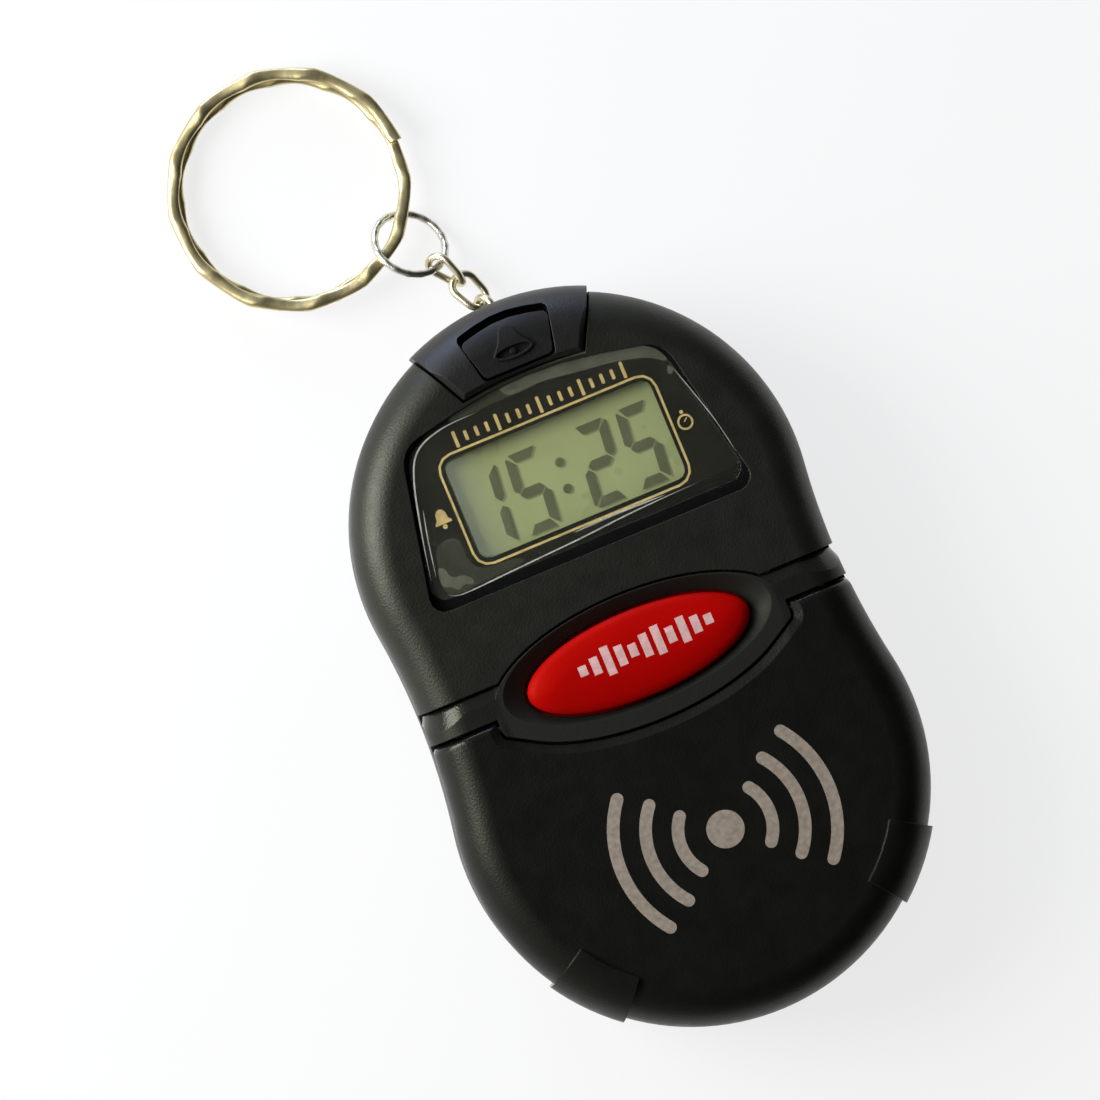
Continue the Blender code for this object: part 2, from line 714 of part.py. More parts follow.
def cut_button_well(frame):
    """A dished recess, the button's opening and room for its flange below."""
    dish_floor = CASE_THICKNESS - DISH_DEPTH
    slope = (DISH_HALF_WIDTH - BUTTON_HALF_WIDTH - PART_GAP) / DISH_DEPTH
    rim_half = DISH_HALF_WIDTH + slope * DISH_DEPTH, DISH_HALF_HEIGHT + DISH_DEPTH
    rim = ellipse(DISH_CENTRE_Y, *rim_half, BUTTON_STEPS)
    floor = ellipse(BUTTON_CENTRE_Y, *button_half(PART_GAP), BUTTON_STEPS)
    mouth = ellipse(DISH_CENTRE_Y, DISH_HALF_WIDTH, DISH_HALF_HEIGHT, BUTTON_STEPS)
    rings = [ring(floor, DECK_TOP), ring(floor, dish_floor), ring(mouth, CASE_THICKNESS)]
    rings.append(ring(rim, CASE_THICKNESS + DISH_DEPTH))
    cut(frame, loft("dish", rings))
    room = ellipse(BUTTON_CENTRE_Y, *button_half(BUTTON_FLANGE + PART_GAP), BUTTON_STEPS)
    cut(frame, prism("flange_room", room, DECK_TOP - DECK_THICKNESS - WALL, button_shelf()))


def button_half(extra):
    return BUTTON_HALF_WIDTH + extra, BUTTON_HALF_HEIGHT + extra


def button_shelf():
    """The underside of the frame that stops the talk button's flange."""
    return CASE_THICKNESS - DISH_DEPTH - DECK_THICKNESS


def pivot_seat():
    """The inner face of the cover's notch beside each shoulder of the bezel."""
    return BEZEL_HALF_WIDTH + COVER_GAP


def pivot_bar(name, side, outer, length):
    """A short round bar on the hinge axis, from outer towards the middle."""
    builder = bmesh.new()
    bmesh.ops.create_cone(
        builder,
        cap_ends=True,
        segments=PIVOT_STEPS,
        radius1=PIVOT_RADIUS,
        radius2=PIVOT_RADIUS,
        depth=length,
    )
    bmesh.ops.rotate(builder, matrix=Matrix.Rotation(math.pi / 2, 3, "Y"), verts=builder.verts)
    bar = made_of(builder, name, None, cutters)
    bar.location = (side * (outer - length / 2), *hinge_line())
    return bar


def hinge_line():
    """(y, z) of the flip cover's hinge axis."""
    return BAND_BOTTOM_Y - HINGE_EDGE_GAP - HINGE_RADIUS, CASE_THICKNESS - HINGE_RADIUS


def make_flip_cover():
    """The lower lobe's cover with grips at its corners, a notch round the bezel and two pivots."""
    cover_base = LEDGE_HEIGHT + COVER_GAP
    cover = front_hull("flip_cover", cover_base, finish=BLACK_PLASTIC, group=parts)
    for side in (-1, 1):
        join(cover, grip_pad(side))
    hinge_y, hinge_z = hinge_line()
    rows = [(-FAR, -FAR)]
    for degrees in HINGE_TURNS:
        turn = math.radians(degrees)
        rows.append((hinge_y + HINGE_RADIUS * math.sin(turn), HINGE_RADIUS * (1 - math.cos(turn))))
    lead_in = math.tan(math.radians(HINGE_TURNS[0])) * HINGE_RADIUS
    rows.insert(1, (rows[1][0] - HINGE_RADIUS, rows[1][1] - lead_in))
    keep(cover, waist_sleeve("hinge_edge", rows))
    inner = rounded_rise(CASE_THICKNESS - COVER_WALL, FRONT_ROUND - COVER_WALL, COVER_WALL)
    cut(cover, stepped("cover_cavity", [(COVER_WALL, 0)] + inner))
    notch = [point for point in grown(bezel_outline(), COVER_GAP) if point[1] < BEZEL_CENTRE_Y]
    seat = pivot_seat()
    notch = [(-seat, FAR)] + notch + [(seat, FAR)]
    wide = grown(notch, NOTCH_CHAMFER * 2)
    low = CASE_THICKNESS - NOTCH_CHAMFER_DROP
    rings = [ring(notch, 0), ring(notch, low), ring(wide, low + NOTCH_CHAMFER_DROP * 2)]
    cut(cover, loft("bezel_notch", rings))
    for side in (-1, 1):
        reach = seat + PIVOT_LENGTH / 2
        join(cover, pivot_bar(f"pivot_{side}", side, reach, PIVOT_LENGTH * 1.5))
    return set_pivot(cover, (0, hinge_y, hinge_z))


def grip_pad(side):
    """A raised wedge at a lower corner."""
    pad = front_hull(f"grip_{side}", GRIP_BASE, GRIP_PROUD)
    angles = sorted(270 + side * (90 - edge) for edge in (GRIP_START_ANGLE, GRIP_END_ANGLE))
    inner = arc(0, LOWER_CENTRE_Y, GRIP_INNER_RADIUS, angles[1], angles[0], 4)
    outer = arc(0, LOWER_CENTRE_Y, FAR, angles[0], angles[1], 1)
    end = math.radians(angles[0])
    inner.append((GRIP_INNER_RADIUS * math.cos(end), LOWER_CENTRE_Y + GRIP_INNER_RADIUS * math.sin(end)))
    far_end = math.radians(angles[1])
    outer.append((FAR * math.cos(far_end), LOWER_CENTRE_Y + FAR * math.sin(far_end)))
    return keep(pad, prism(f"grip_region_{side}", inner + outer, 0, FAR))


def make_rear_shell():
    shell = stepped("rear_shell", rear_profile(), BLACK_PLASTIC, parts)
    bosses = boss_places(UPPER_BOSS) + boss_places(LOWER_BOSS)
    for index, spot in enumerate(bosses, 1):
        join(shell, cylinder(f"rear_boss_{index}", spot, BOSS_RADIUS, WALL / 2, REAR_TOP, steps=16))
    add_compartment(shell)
    add_speaker_seat(shell)
    for index, spot in enumerate(bosses, 1):
        head = SCREW_HEAD_RADIUS + SCREW_CLEARANCE
        cut(shell, cylinder(f"head_bore_{index}", spot, head, -WALL, SCREW_SHOULDER, steps=16))
        shank = SCREW_RADIUS + SCREW_CLEARANCE
        cut(shell, cylinder(f"shank_bore_{index}", spot, shank, 0, FAR, steps=12))
    low = (PIN_X - SLOT_WIDTH / 2, SLOT_DEPTH_Y, SLOT_BOTTOM)
    cut(shell, box("chain_slot", low, (PIN_X + SLOT_WIDTH / 2, FAR, SLOT_TOP)))
    hole = PIN_RADIUS + PIN_CLEARANCE
    cut(shell, chain_pin_bar("pin_hole", hole, PIN_SEAT + PART_GAP, 12))
    return shell


def rear_profile():
    """(inset, height) pairs: up the outside, over the tongue and down to the floor inside."""
    outside = []
    for inset, height in reversed(rounded_rise(BACK_ROUND, BACK_ROUND, 0)):
        outside.append((inset, BACK_ROUND - height))
    tongue_top = REAR_TOP + TONGUE_HEIGHT
    tongue = [(0, REAR_TOP), (TONGUE_INSET, REAR_TOP), (TONGUE_INSET, tongue_top), (WALL, tongue_top)]
    return outside + tongue + [(WALL, BACK_ROUND), (BACK_ROUND, WALL)]


def compartment_size(extra):
    """Width and height of the battery opening, grown all round by extra."""
    width = 4 * CELL_RADIUS + 3 * CELL_GAP
    return width + 2 * extra, 2 * CELL_RADIUS + 2 * CELL_GAP + 2 * extra


def compartment_top():
    """The underside of the compartment's ceiling."""
    return DOOR_THICKNESS + CELL_HEIGHT + 2 * CONTACT_THICKNESS + 3 * CONTACT_GAP


def add_compartment(shell):
    """A walled box for two button cells, opened from the back through the door's hole."""
    ceiling = compartment_top()
    outside = rounded_box(0, CELL_Y, *compartment_size(COMPARTMENT_WALL), DOOR_CORNER)
    join(shell, prism("compartment", outside, WALL / 2, ceiling + COMPARTMENT_ROOF))
    screw_spot = door_screw_place()
    boss = DOOR_EAR_RADIUS + PART_GAP
    join(shell, cylinder("door_boss", screw_spot, boss, WALL / 2, DOOR_SCREW_LENGTH + WALL, steps=16))
    inside = rounded_box(0, CELL_Y, *compartment_size(0), DOOR_CORNER)
    cut(shell, prism("compartment_room", inside, -WALL, ceiling))
    ear = door_ear_outline(PART_GAP)
    cut(shell, prism("ear_recess", ear, -WALL, DOOR_THICKNESS + PART_GAP))
    bore = DOOR_SCREW_RADIUS + SCREW_CLEARANCE
    top = DOOR_THICKNESS - DOOR_EAR_THICKNESS + DOOR_SCREW_LENGTH + SCREW_CLEARANCE
    cut(shell, cylinder("door_bore", screw_spot, bore, 0, top, steps=12))
    slot_low = CELL_Y - compartment_size(0)[1] / 2
    reach = DOOR_TONGUE + PART_GAP
    low = (-DOOR_EAR_RADIUS - PART_GAP, slot_low - reach, DOOR_THICKNESS - DOOR_EAR_THICKNESS - PART_GAP)
    high = (DOOR_EAR_RADIUS + PART_GAP, slot_low + PART_GAP, DOOR_THICKNESS + PART_GAP)
    cut(shell, box("tongue_recess", low, high))


def door_screw_place():
    return 0, CELL_Y + compartment_size(0)[1] / 2 + DOOR_EAR_RADIUS


def door_ear_outline(gap):
    """A tab with a round end that takes the door's screw."""
    middle = door_screw_place()[1]
    radius = DOOR_EAR_RADIUS + gap
    base = middle - DOOR_EAR_RADIUS * 2
    return [(radius, base)] + arc(0, middle, radius, 0, 180, 10) + [(-radius, middle), (-radius, base)]


def grille_places():
    """Hexagonal rings of holes about the speaker's middle."""
    spots = [(0, SPEAKER_Y)]
    for ring_index in range(1, GRILLE_RINGS + 1):
        for corner in range(6 * ring_index):
            angle = math.pi / 3 * corner / ring_index
            reach = GRILLE_PITCH * ring_index
            spots.append((reach * math.cos(angle), SPEAKER_Y + reach * math.sin(angle)))
    return spots


def add_speaker_seat(shell):
    """A round rib that holds the speaker, and the grille in the floor under it."""
    outer = SPEAKER_RADIUS + PART_GAP + SPEAKER_RIB
    top = WALL + SPEAKER_RIB_HEIGHT
    spot = (0, SPEAKER_Y)
    rib = cylinder("speaker_rib", spot, outer, WALL / 2, top, steps=SPEAKER_STEPS)
    inner = SPEAKER_RADIUS + PART_GAP
    room = cylinder("rib_room", spot, inner, 0, top + WALL, steps=SPEAKER_STEPS)
    join(shell, cut(rib, room))
    for index, place_at in enumerate(grille_places(), 1):
        hole = cylinder(f"grille_hole_{index}", place_at, GRILLE_HOLE_RADIUS, -WALL, WALL * 2, steps=6)
        cut(shell, hole)


def chain_pin_bar(name, radius, overhang, steps, finish=None, group=cutters):
    """A bar along X across the chain's slot, past it by overhang at each end."""
    builder = bmesh.new()
    length = SLOT_WIDTH + 2 * overhang
    bmesh.ops.create_cone(
        builder, cap_ends=True, segments=steps, radius1=radius, radius2=radius, depth=length
    )
    bmesh.ops.rotate(builder, matrix=Matrix.Rotation(math.pi / 2, 3, "Y"), verts=builder.verts)
    bar = made_of(builder, name, finish, group)
    bar.location = (PIN_X, PIN_Y, PIN_Z)
    return bar


def make_top_cap():
    """A raised saddle over the top edge, with the alarm key's opening."""
    cap = front_hull("top_cap", FRONT_BASE, CAP_PROUD, BLACK_PLASTIC, parts)
    wedge = cap_wedge(0)
    face = CASE_THICKNESS
    narrow = grown(wedge, -CAP_BEVEL * 2)
    rings = [ring(wedge, 0), ring(wedge, face), ring(narrow, face + CAP_PROUD * 2)]
    keep(cap, loft("cap_region", rings))
    cut(cap, front_room("cap_cavity"))
    cut(cap, prism("key_opening", key_corners(KEY_GAP, KEY_SLOT), CASE_THICKNESS - FRONT_ROUND * 2, FAR))
    return cap


def key_corners(gap, slot):
    """The alarm key's rounded trapezoid, grown by gap and by slot along its top."""
    low = KEY_BOTTOM_Y - gap
    high = KEY_TOP_Y + slot
    return rounded(
        [
            (-KEY_BOTTOM_HALF_WIDTH - gap, low, KEY_CORNER),
            (KEY_BOTTOM_HALF_WIDTH + gap, low, KEY_CORNER),
            (KEY_TOP_HALF_WIDTH + gap, high - KEY_PEAK_RISE, KEY_CORNER),
            (0, high + KEY_PEAK_RISE, KEY_TOP_RADIUS),
            (-KEY_TOP_HALF_WIDTH - gap, high - KEY_PEAK_RISE, KEY_CORNER),
        ],
        BOX_CORNER_STEPS,
    )


def bell_outline():
    """Half a bell's edge from its crown to its mouth, mirrored."""
    half = [
        (BELL_MOUTH_HALF_WIDTH, BELL_MOUTH_Y),
        (BELL_WAIST_HALF_WIDTH, BELL_WAIST_Y),
        (BELL_TOP_HALF_WIDTH, BELL_TOP_Y - BELL_TOP_HALF_WIDTH),
    ]
    crown = arc(0, BELL_TOP_Y - BELL_TOP_HALF_WIDTH, BELL_TOP_HALF_WIDTH, 30, 180, BELL_CROWN_STEPS)
    mouth = []
    for x, y in arc(0, 0, 1, 180, 360, 10):
        mouth.append((BELL_MOUTH_HALF_WIDTH * x, BELL_MOUTH_Y + BELL_MOUTH_HALF_HEIGHT * y))
    left = [(-x, y) for x, y in reversed(half[1:])]
    return half + crown + left + mouth


def make_bell_key():
    """The alarm key, sunk towards its top edge, with a bell raised on it."""
    key = front_hull("bell_key", FRONT_BASE, CAP_PROUD, BLACK_PLASTIC, parts)
    outline = key_corners(0, 0)
    keep(key, prism("key_region", outline, CASE_THICKNESS - FRONT_ROUND, FAR))
    inset = KEY_THICKNESS - CAP_PROUD
    underside = rounded_rise(CASE_THICKNESS - inset, FRONT_ROUND - inset, inset)
    cut(key, stepped("key_underside", [(inset, 0)] + underside))
    bell = front_hull("bell_relief", FRONT_BASE, CAP_PROUD + BELL_RISE)
    keep(bell, prism("bell_region", bell_outline(), CASE_THICKNESS - KEY_THICKNESS / 2, FAR))
    join(key, bell)
    mouth_half = BELL_MOUTH_HALF_WIDTH - BELL_LIP, BELL_MOUTH_HALF_HEIGHT - BELL_LIP
    mouth = ellipse(BELL_MOUTH_Y, *mouth_half, BELL_MOUTH_STEPS)
    cut(key, prism("bell_mouth", mouth, CASE_THICKNESS + CAP_PROUD, FAR))
    clapper = (0, BELL_MOUTH_Y)
    top = CASE_THICKNESS + CAP_PROUD + BELL_RISE / 2
    join(key, cylinder("clapper", clapper, CLAPPER_RADIUS, top - BELL_RISE, top, steps=10))
    stem_low = switch_top() + PART_GAP
    stem_top = CASE_THICKNESS - WALL / 2
    stem = cylinder("key_stem", (0, KEY_STEM_Y), KEY_STEM_RADIUS, stem_low, stem_top, steps=12)
    join(key, stem)
    set_pivot(key, (0, *bell_hinge()))
    key.rotation_euler = (math.radians(-KEY_SINK_ANGLE), 0, 0)
    return key


def bell_hinge():
    """(y, z) of the line along the alarm key's lower edge that it tilts about."""
    return KEY_BOTTOM_Y, CASE_THICKNESS + CAP_PROUD - KEY_THICKNESS


def switch_top():
    return BOARD_BOTTOM + BOARD_THICKNESS + SWITCH_HEIGHT + SWITCH_BUTTON_HEIGHT + PART_GAP


# Keys and window


def make_lens():
    outline = rounded(lens_corners(LENS_SIDE_GAP, LENS_BOTTOM_GAP, LENS_SIDE_GAP))
    return prism("lens", outline, LENS_TOP - LENS_THICKNESS, LENS_TOP, CLEAR_PLASTIC, parts)


def make_talk_button():
    """A crowned oval cap with a flange that stops it under the frame and a stem over the rubber dome."""
    shelf = button_shelf() - PART_GAP
    flange_low = shelf - BUTTON_FLANGE_THICKNESS
    wide = button_half(BUTTON_FLANGE)
    full = button_half(0)
    crown_base = CASE_THICKNESS + BUTTON_CROWN - BUTTON_EDGE_DROP * 2
    rows = [(wide, flange_low), (wide, shelf), (full, shelf), (full, crown_base)]
    for fraction in BUTTON_CROWN_SHARES:
        half = BUTTON_HALF_WIDTH - BUTTON_HALF_HEIGHT * (1 - fraction), BUTTON_HALF_HEIGHT * fraction
        rise = BUTTON_EDGE_DROP * 2 * math.sqrt(1 - fraction**2)
        rows.append((half, crown_base + rise))
    rings = [ring(ellipse(0, *half, BUTTON_STEPS), height) for half, height in rows]
    button = loft("talk_button", rings, RED_PLASTIC, parts)
    button.location = (0, BUTTON_CENTRE_Y, 0)
    stem_low = dome_top() + PART_GAP
    spot = (0, BUTTON_CENTRE_Y)
    join(button, cylinder("button_stem", spot, BUTTON_STEM_RADIUS, stem_low, shelf, steps=20))
    return button


def mat_top():
    return BOARD_BOTTOM + BOARD_THICKNESS + PART_GAP + MAT_THICKNESS


def dome_top():
    return mat_top() + MAT_DOME_HEIGHT


def set_key_spot(index):
    return (index - (SET_KEY_COUNT - 1) / 2) * SET_KEY_PITCH, SET_KEY_Y


def set_key_outline(index, gap):
    x, y = set_key_spot(index)
    return rounded_box(x, y, SET_KEY_WIDTH + 2 * gap, SET_KEY_DEPTH + 2 * gap, SET_KEY_CORNER + gap)


def make_set_key(index):
    """A setting key with a flange under the deck."""
    shelf = DECK_TOP - DECK_THICKNESS - PART_GAP
    low = shelf - SET_KEY_FLANGE_THICKNESS
    top = DECK_TOP + SET_KEY_RISE
    body = set_key_outline(index, 0)
    flange = set_key_outline(index, SET_KEY_FLANGE)
    crown = grown(body, -SET_KEY_CORNER / 4)
    rings = [ring(flange, low), ring(flange, shelf), ring(body, shelf), ring(body, top - SET_KEY_CORNER / 4)]
    rings.append(ring(crown, top))
    key = loft(f"set_key_{index + 1}", rings, RUBBER, parts)
    return set_pivot(key, (*set_key_spot(index), low))


def make_key_mat():
    """A rubber sheet on the board with a low dome under each key."""
    margin = SET_DOME_RADIUS * 2
    low_y = SET_KEY_Y - margin
    high_y = BUTTON_CENTRE_Y + TALK_DOME_RADIUS + SET_DOME_RADIUS
    width = (SET_KEY_COUNT - 1) * SET_KEY_PITCH + 2 * margin
    sheet = rounded_box(0, (low_y + high_y) / 2, width, high_y - low_y, SET_DOME_RADIUS)
    bottom = mat_top() - MAT_THICKNESS
    mat = prism("key_mat", sheet, bottom, mat_top(), RUBBER, parts)
    domes = [((0, BUTTON_CENTRE_Y), TALK_DOME_RADIUS)]
    domes += [(set_key_spot(index), SET_DOME_RADIUS) for index in range(SET_KEY_COUNT)]
    for index, (spot, radius) in enumerate(domes):
        shape = [(0, dome_top()), (radius * DOME_FLAT_SHARE, dome_top()), (radius, mat_top())]
        shape.append((radius, bottom + SEAM))
        shape.append((0, bottom + SEAM))
        join(mat, turned(f"dome_{index}", shape, spot, steps=20))
    return mat


# Display, board and sound


def make_main_board():
    top = BOARD_BOTTOM + BOARD_THICKNESS
    board = prism("main_board", case_outline(BOARD_INSET), BOARD_BOTTOM, top, BOARD_GREEN, parts)
    relief = BOSS_RADIUS + PART_GAP
    for index, spot in enumerate(boss_places(UPPER_BOSS) + boss_places(LOWER_BOSS), 1):
        cut(board, cylinder(f"board_relief_{index}", spot, relief, 0, FAR, steps=20))
    return board


def lcd_size(extra):
    width = WINDOW_WIDTH + 2 * LCD_MARGIN_X + 2 * extra
    return width, WINDOW_HEIGHT + 2 * LCD_MARGIN_Y + 2 * extra


def make_display():
    """The glass under the window, its reflector, the rubber strips that feed it and the frame round them."""
    board_top = BOARD_BOTTOM + BOARD_THICKNESS
    glass_top = CEILING - PART_GAP
    glass_low = glass_top - LCD_THICKNESS
    glass = rounded_box(0, WINDOW_CENTRE_Y, *lcd_size(0), LCD_CORNER)
    prism("lcd_glass", glass, glass_low, glass_top, DISPLAY_GLASS, parts)
    strip_top = glass_low - PART_GAP
    edge = WINDOW_CENTRE_Y + lcd_size(0)[1] / 2
    for name, side in (("upper", 1), ("lower", -1)):
        outer = edge if side > 0 else 2 * WINDOW_CENTRE_Y - edge + ZEBRA_WIDTH
        half = WINDOW_WIDTH / 2
        low = (-half, outer - ZEBRA_WIDTH, board_top + PART_GAP)
        box(f"zebra_strip_{name}", low, (half, outer, strip_top), RUBBER, parts)
    depth = lcd_size(-ZEBRA_WIDTH - PART_GAP)[1]
    sheet = rounded_box(0, WINDOW_CENTRE_Y, lcd_size(0)[0], depth, LCD_CORNER)
    prism("lcd_reflector", sheet, strip_top - REFLECTOR_THICKNESS, strip_top, WHITE_PLASTIC, parts)
    room = PART_GAP
    outside = rounded_box(0, WINDOW_CENTRE_Y, *lcd_size(room + HOLDER_WALL), HOLDER_CORNER)
    holder_top = board_top + HOLDER_HEIGHT
    holder = prism("lcd_holder", outside, board_top + PART_GAP, holder_top, WHITE_PLASTIC, parts)
    inside = rounded_box(0, WINDOW_CENTRE_Y, *lcd_size(room), HOLDER_CORNER / 2)
    cut(holder, prism("holder_room", inside, 0, FAR))


def make_board_parts():
    """What is soldered to the board: the chip under its blob, crystal and capacitor below, switch above."""
    underside = BOARD_BOTTOM - PART_GAP
    shape = [
        (0, underside),
        (CHIP_RADIUS, underside),
        (CHIP_SHOULDER_RADIUS, underside - CHIP_SHOULDER_HEIGHT),
        (CHIP_CROWN_RADIUS, underside - CHIP_HEIGHT),
        (0, underside - CHIP_HEIGHT),
    ]
    chip_y = SPEAKER_Y + SPEAKER_RADIUS - CHIP_OVERHANG
    turned("chip_blob", shape, (0, chip_y), EPOXY, parts, 24)
    for name, radius, length, spot, finish in (
        ("crystal", CRYSTAL_RADIUS, CRYSTAL_LENGTH, CRYSTAL_PLACE, STEEL),
        ("capacitor", CAPACITOR_RADIUS, CAPACITOR_LENGTH, CAPACITOR_PLACE, EPOXY),
    ):
        can = cylinder(name, spot, radius, -length / 2, length / 2, finish, parts, 16)
        can.rotation_euler = (math.pi / 2, 0, 0)
        can.location = (*spot, underside - radius)
    board_top = BOARD_BOTTOM + BOARD_THICKNESS
    half = SWITCH_SIDE / 2
    middle = KEY_STEM_Y - SWITCH_OFFSET
    switch_low = board_top + PART_GAP
    low = (-half, middle - half, switch_low)
    switch = box("alarm_switch", low, (half, middle + half, switch_low + SWITCH_HEIGHT), EPOXY, parts)
    top = switch_low + SWITCH_HEIGHT + SWITCH_BUTTON_HEIGHT
    join(switch, cylinder("switch_button", (0, middle), SWITCH_BUTTON_RADIUS, switch_low + SEAM, top))


def make_speaker():
    """A small loudspeaker: foam ring, steel basket, film cone and magnet."""
    front = WALL + PART_GAP
    basket_front = front + GASKET_THICKNESS + PART_GAP
    spot = (0, SPEAKER_Y)
    inner = SPEAKER_RADIUS - GASKET_WIDTH
    gasket = [(SPEAKER_RADIUS, front + GASKET_THICKNESS), (SPEAKER_RADIUS, front), (inner, front)]
    gasket.append((inner, front + GASKET_THICKNESS))
    turned("speaker_gasket", gasket, spot, FOAM, parts, SPEAKER_STEPS)
    back = basket_front + SPEAKER_DEPTH
    basket = [
        (0, back),
        (SPEAKER_BASKET_RADIUS, back),
        (SPEAKER_RADIUS, basket_front + SPEAKER_RIM),
        (SPEAKER_RADIUS, basket_front),
        (inner, basket_front),
        (inner - SPEAKER_RIM, basket_front + SPEAKER_RIM),
        (SPEAKER_BASKET_RADIUS - SPEAKER_RIM, back - SPEAKER_RIM),
        (0, back - SPEAKER_RIM),
    ]
    turned("speaker_basket", basket, spot, STEEL, parts, SPEAKER_STEPS)
    cone_edge = inner - CONE_MARGIN
    film = CONE_FILM_THICKNESS
    cone = [
        (0, basket_front + CONE_DEPTH),
        (CONE_CENTRE_RADIUS, basket_front + CONE_DEPTH),
        (cone_edge, basket_front + film),
        (cone_edge, basket_front),
        (CONE_CENTRE_RADIUS, basket_front + CONE_DEPTH - film),
        (0, basket_front + CONE_DEPTH - film),
    ]
    turned("speaker_cone", cone, spot, CONE_FILM, parts, SPEAKER_STEPS)
    low = back + PART_GAP
    cylinder("speaker_magnet", spot, MAGNET_RADIUS, low, low + MAGNET_HEIGHT, FERRITE, parts, 24)


# Power


def make_cells():
    """Two button cells side by side, the strip that joins them and the two board contacts."""
    low = DOOR_THICKNESS + CONTACT_THICKNESS + 2 * CONTACT_GAP
    reach = CELL_RADIUS + CELL_GAP / 2
    for index, side in enumerate((-1, 1), 1):
        shape = [
            (0, low + CELL_HEIGHT),
            (CELL_RADIUS - CELL_BEVEL, low + CELL_HEIGHT),
            (CELL_RADIUS, low + CELL_HEIGHT - CELL_BEVEL),
            (CELL_RADIUS, low),
            (0, low),
        ]
        turned(f"button_cell_{index}", shape, (side * reach, CELL_Y), STEEL, parts, 20)
        top = compartment_top()
        outline = rounded_box(side * reach, CELL_Y, CELL_RADIUS, CELL_RADIUS, CONTACT_CORNER)
        name = "positive_contact" if side > 0 else "negative_contact"
        high = top - CONTACT_GAP / 2
        prism(name, outline, high - CONTACT_THICKNESS, high, SPRING_METAL, parts)
    strip = rounded_box(0, CELL_Y, 3 * CELL_RADIUS, CELL_RADIUS, CONTACT_CORNER)
    bottom = DOOR_THICKNESS + CONTACT_GAP
    prism("bridge_contact", strip, bottom, bottom + CONTACT_THICKNESS, SPRING_METAL, parts)


def make_battery_door():
    """A flush door with a screwed ear at the top and a tongue that hooks in at the bottom."""
    outline = rounded_box(0, CELL_Y, *compartment_size(-PART_GAP), DOOR_CORNER)
    door = prism("battery_door", outline, 0, DOOR_THICKNESS, BLACK_PLASTIC, parts)
    ear = door_ear_outline(0)
    join(door, prism("door_ear", ear, DOOR_THICKNESS - DOOR_EAR_THICKNESS, DOOR_THICKNESS - SCREW_SEAT_GAP))
    low_y = CELL_Y - compartment_size(0)[1] / 2 - DOOR_TONGUE
    tongue_low = (-DOOR_EAR_RADIUS, low_y, DOOR_THICKNESS - DOOR_EAR_THICKNESS)
    tongue_high = (DOOR_EAR_RADIUS, CELL_Y - CELL_RADIUS / 2, DOOR_THICKNESS)
    join(door, box("door_tongue", tongue_low, tongue_high))
    hole = DOOR_SCREW_RADIUS + SCREW_CLEARANCE
    cut(door, cylinder("door_hole", door_screw_place(), hole, -WALL, WALL * 2, steps=12))
    return door


def make_screw(name, spot, radius, head, under_head, length):
    """A pan-head screw pointing up, with a cross recess in its head, given as its radius and height."""
    head_radius, head_height = head
    low = under_head - head_height
    tip = under_head + length
    shape = [
        (0, tip),
        (radius * SCREW_POINT_SHARE, tip),
        (radius, tip - radius),
        (radius, under_head),
        (head_radius, under_head),
        (head_radius, low + head_height / 3),
        (head_radius * SCREW_DOME_SHARE, low),
        (0, low),
    ]
    screw = turned(name, shape, spot, STEEL, parts, 12)
    x, y = spot
    long = head_radius * RECESS_LENGTH_SHARE
    thin = head_radius * RECESS_WIDTH_SHARE
    for index, (reach_x, reach_y) in enumerate(((long, thin), (thin, long))):
        corner = (x - reach_x, y - reach_y, low - WALL)
        far_corner = (x + reach_x, y + reach_y, low + head_height / 2)
        cut(screw, box(f"{name}_recess_{index}", corner, far_corner))
    return screw


def make_screws():
    under_head = SCREW_SHOULDER - PART_GAP
    length = SCREW_TIP - under_head
    head = SCREW_HEAD_RADIUS, SCREW_HEAD_HEIGHT
    for index, spot in enumerate(boss_places(UPPER_BOSS) + boss_places(LOWER_BOSS), 1):
        make_screw(f"case_screw_{index}", spot, SCREW_RADIUS, head, under_head, length)
    door_head = DOOR_SCREW_HEAD_RADIUS, DOOR_SCREW_HEAD_HEIGHT
    under_door_head = DOOR_THICKNESS - DOOR_EAR_THICKNESS - SCREW_SEAT_GAP
    door_screw = "battery_door_screw", door_screw_place(), DOOR_SCREW_RADIUS
    make_screw(*door_screw, door_head, under_door_head, DOOR_SCREW_LENGTH)


# Chain and rings


def racetrack(length, width, bend_steps):
    """The centre line of an oval link in its own plane, its long axis along Y."""
    radius = width / 2
    reach = (length - width) / 2
    points = arc(0, reach, radius, 0, 180, bend_steps)
    points.append((-radius, reach))
    points += arc(0, -reach, radius, 180, 360, bend_steps)
    points.append((radius, -reach))
    return points


def make_chain():
    """Oval links, each through the one before it: the first goes round the pin."""
    centre_length = LINK_LENGTH - 2 * LINK_WIRE
    centre_width = LINK_WIDTH - 2 * LINK_WIRE
    flat = racetrack(centre_length, centre_width, LINK_BEND_STEPS)
    points = [(x, y + centre_length / 2, 0) for x, y in flat]
    back = Vector((0, -PIN_RADIUS - LINK_WIRE - LINK_GAP, 0))
    start = Vector((PIN_X + PIN_SEAT / 4, PIN_Y, PIN_Z)) + back
    for index, (heading, climb, roll) in enumerate(LINK_TURNS, 1):
        link = wire(f"chain_link_{index}", points, [LINK_WIRE] * len(points), True, PALE_BRASS)
        aim = Matrix.Rotation(math.radians(heading - 90), 4, "Z")
        aim @= Matrix.Rotation(math.radians(climb), 4, "X")
        link.matrix_world = Matrix.Translation(start) @ aim @ Matrix.Rotation(math.radians(roll), 4, "Y")
        start = start + aim @ Vector((0, centre_length - 2 * LINK_WIRE - LINK_GAP, 0))


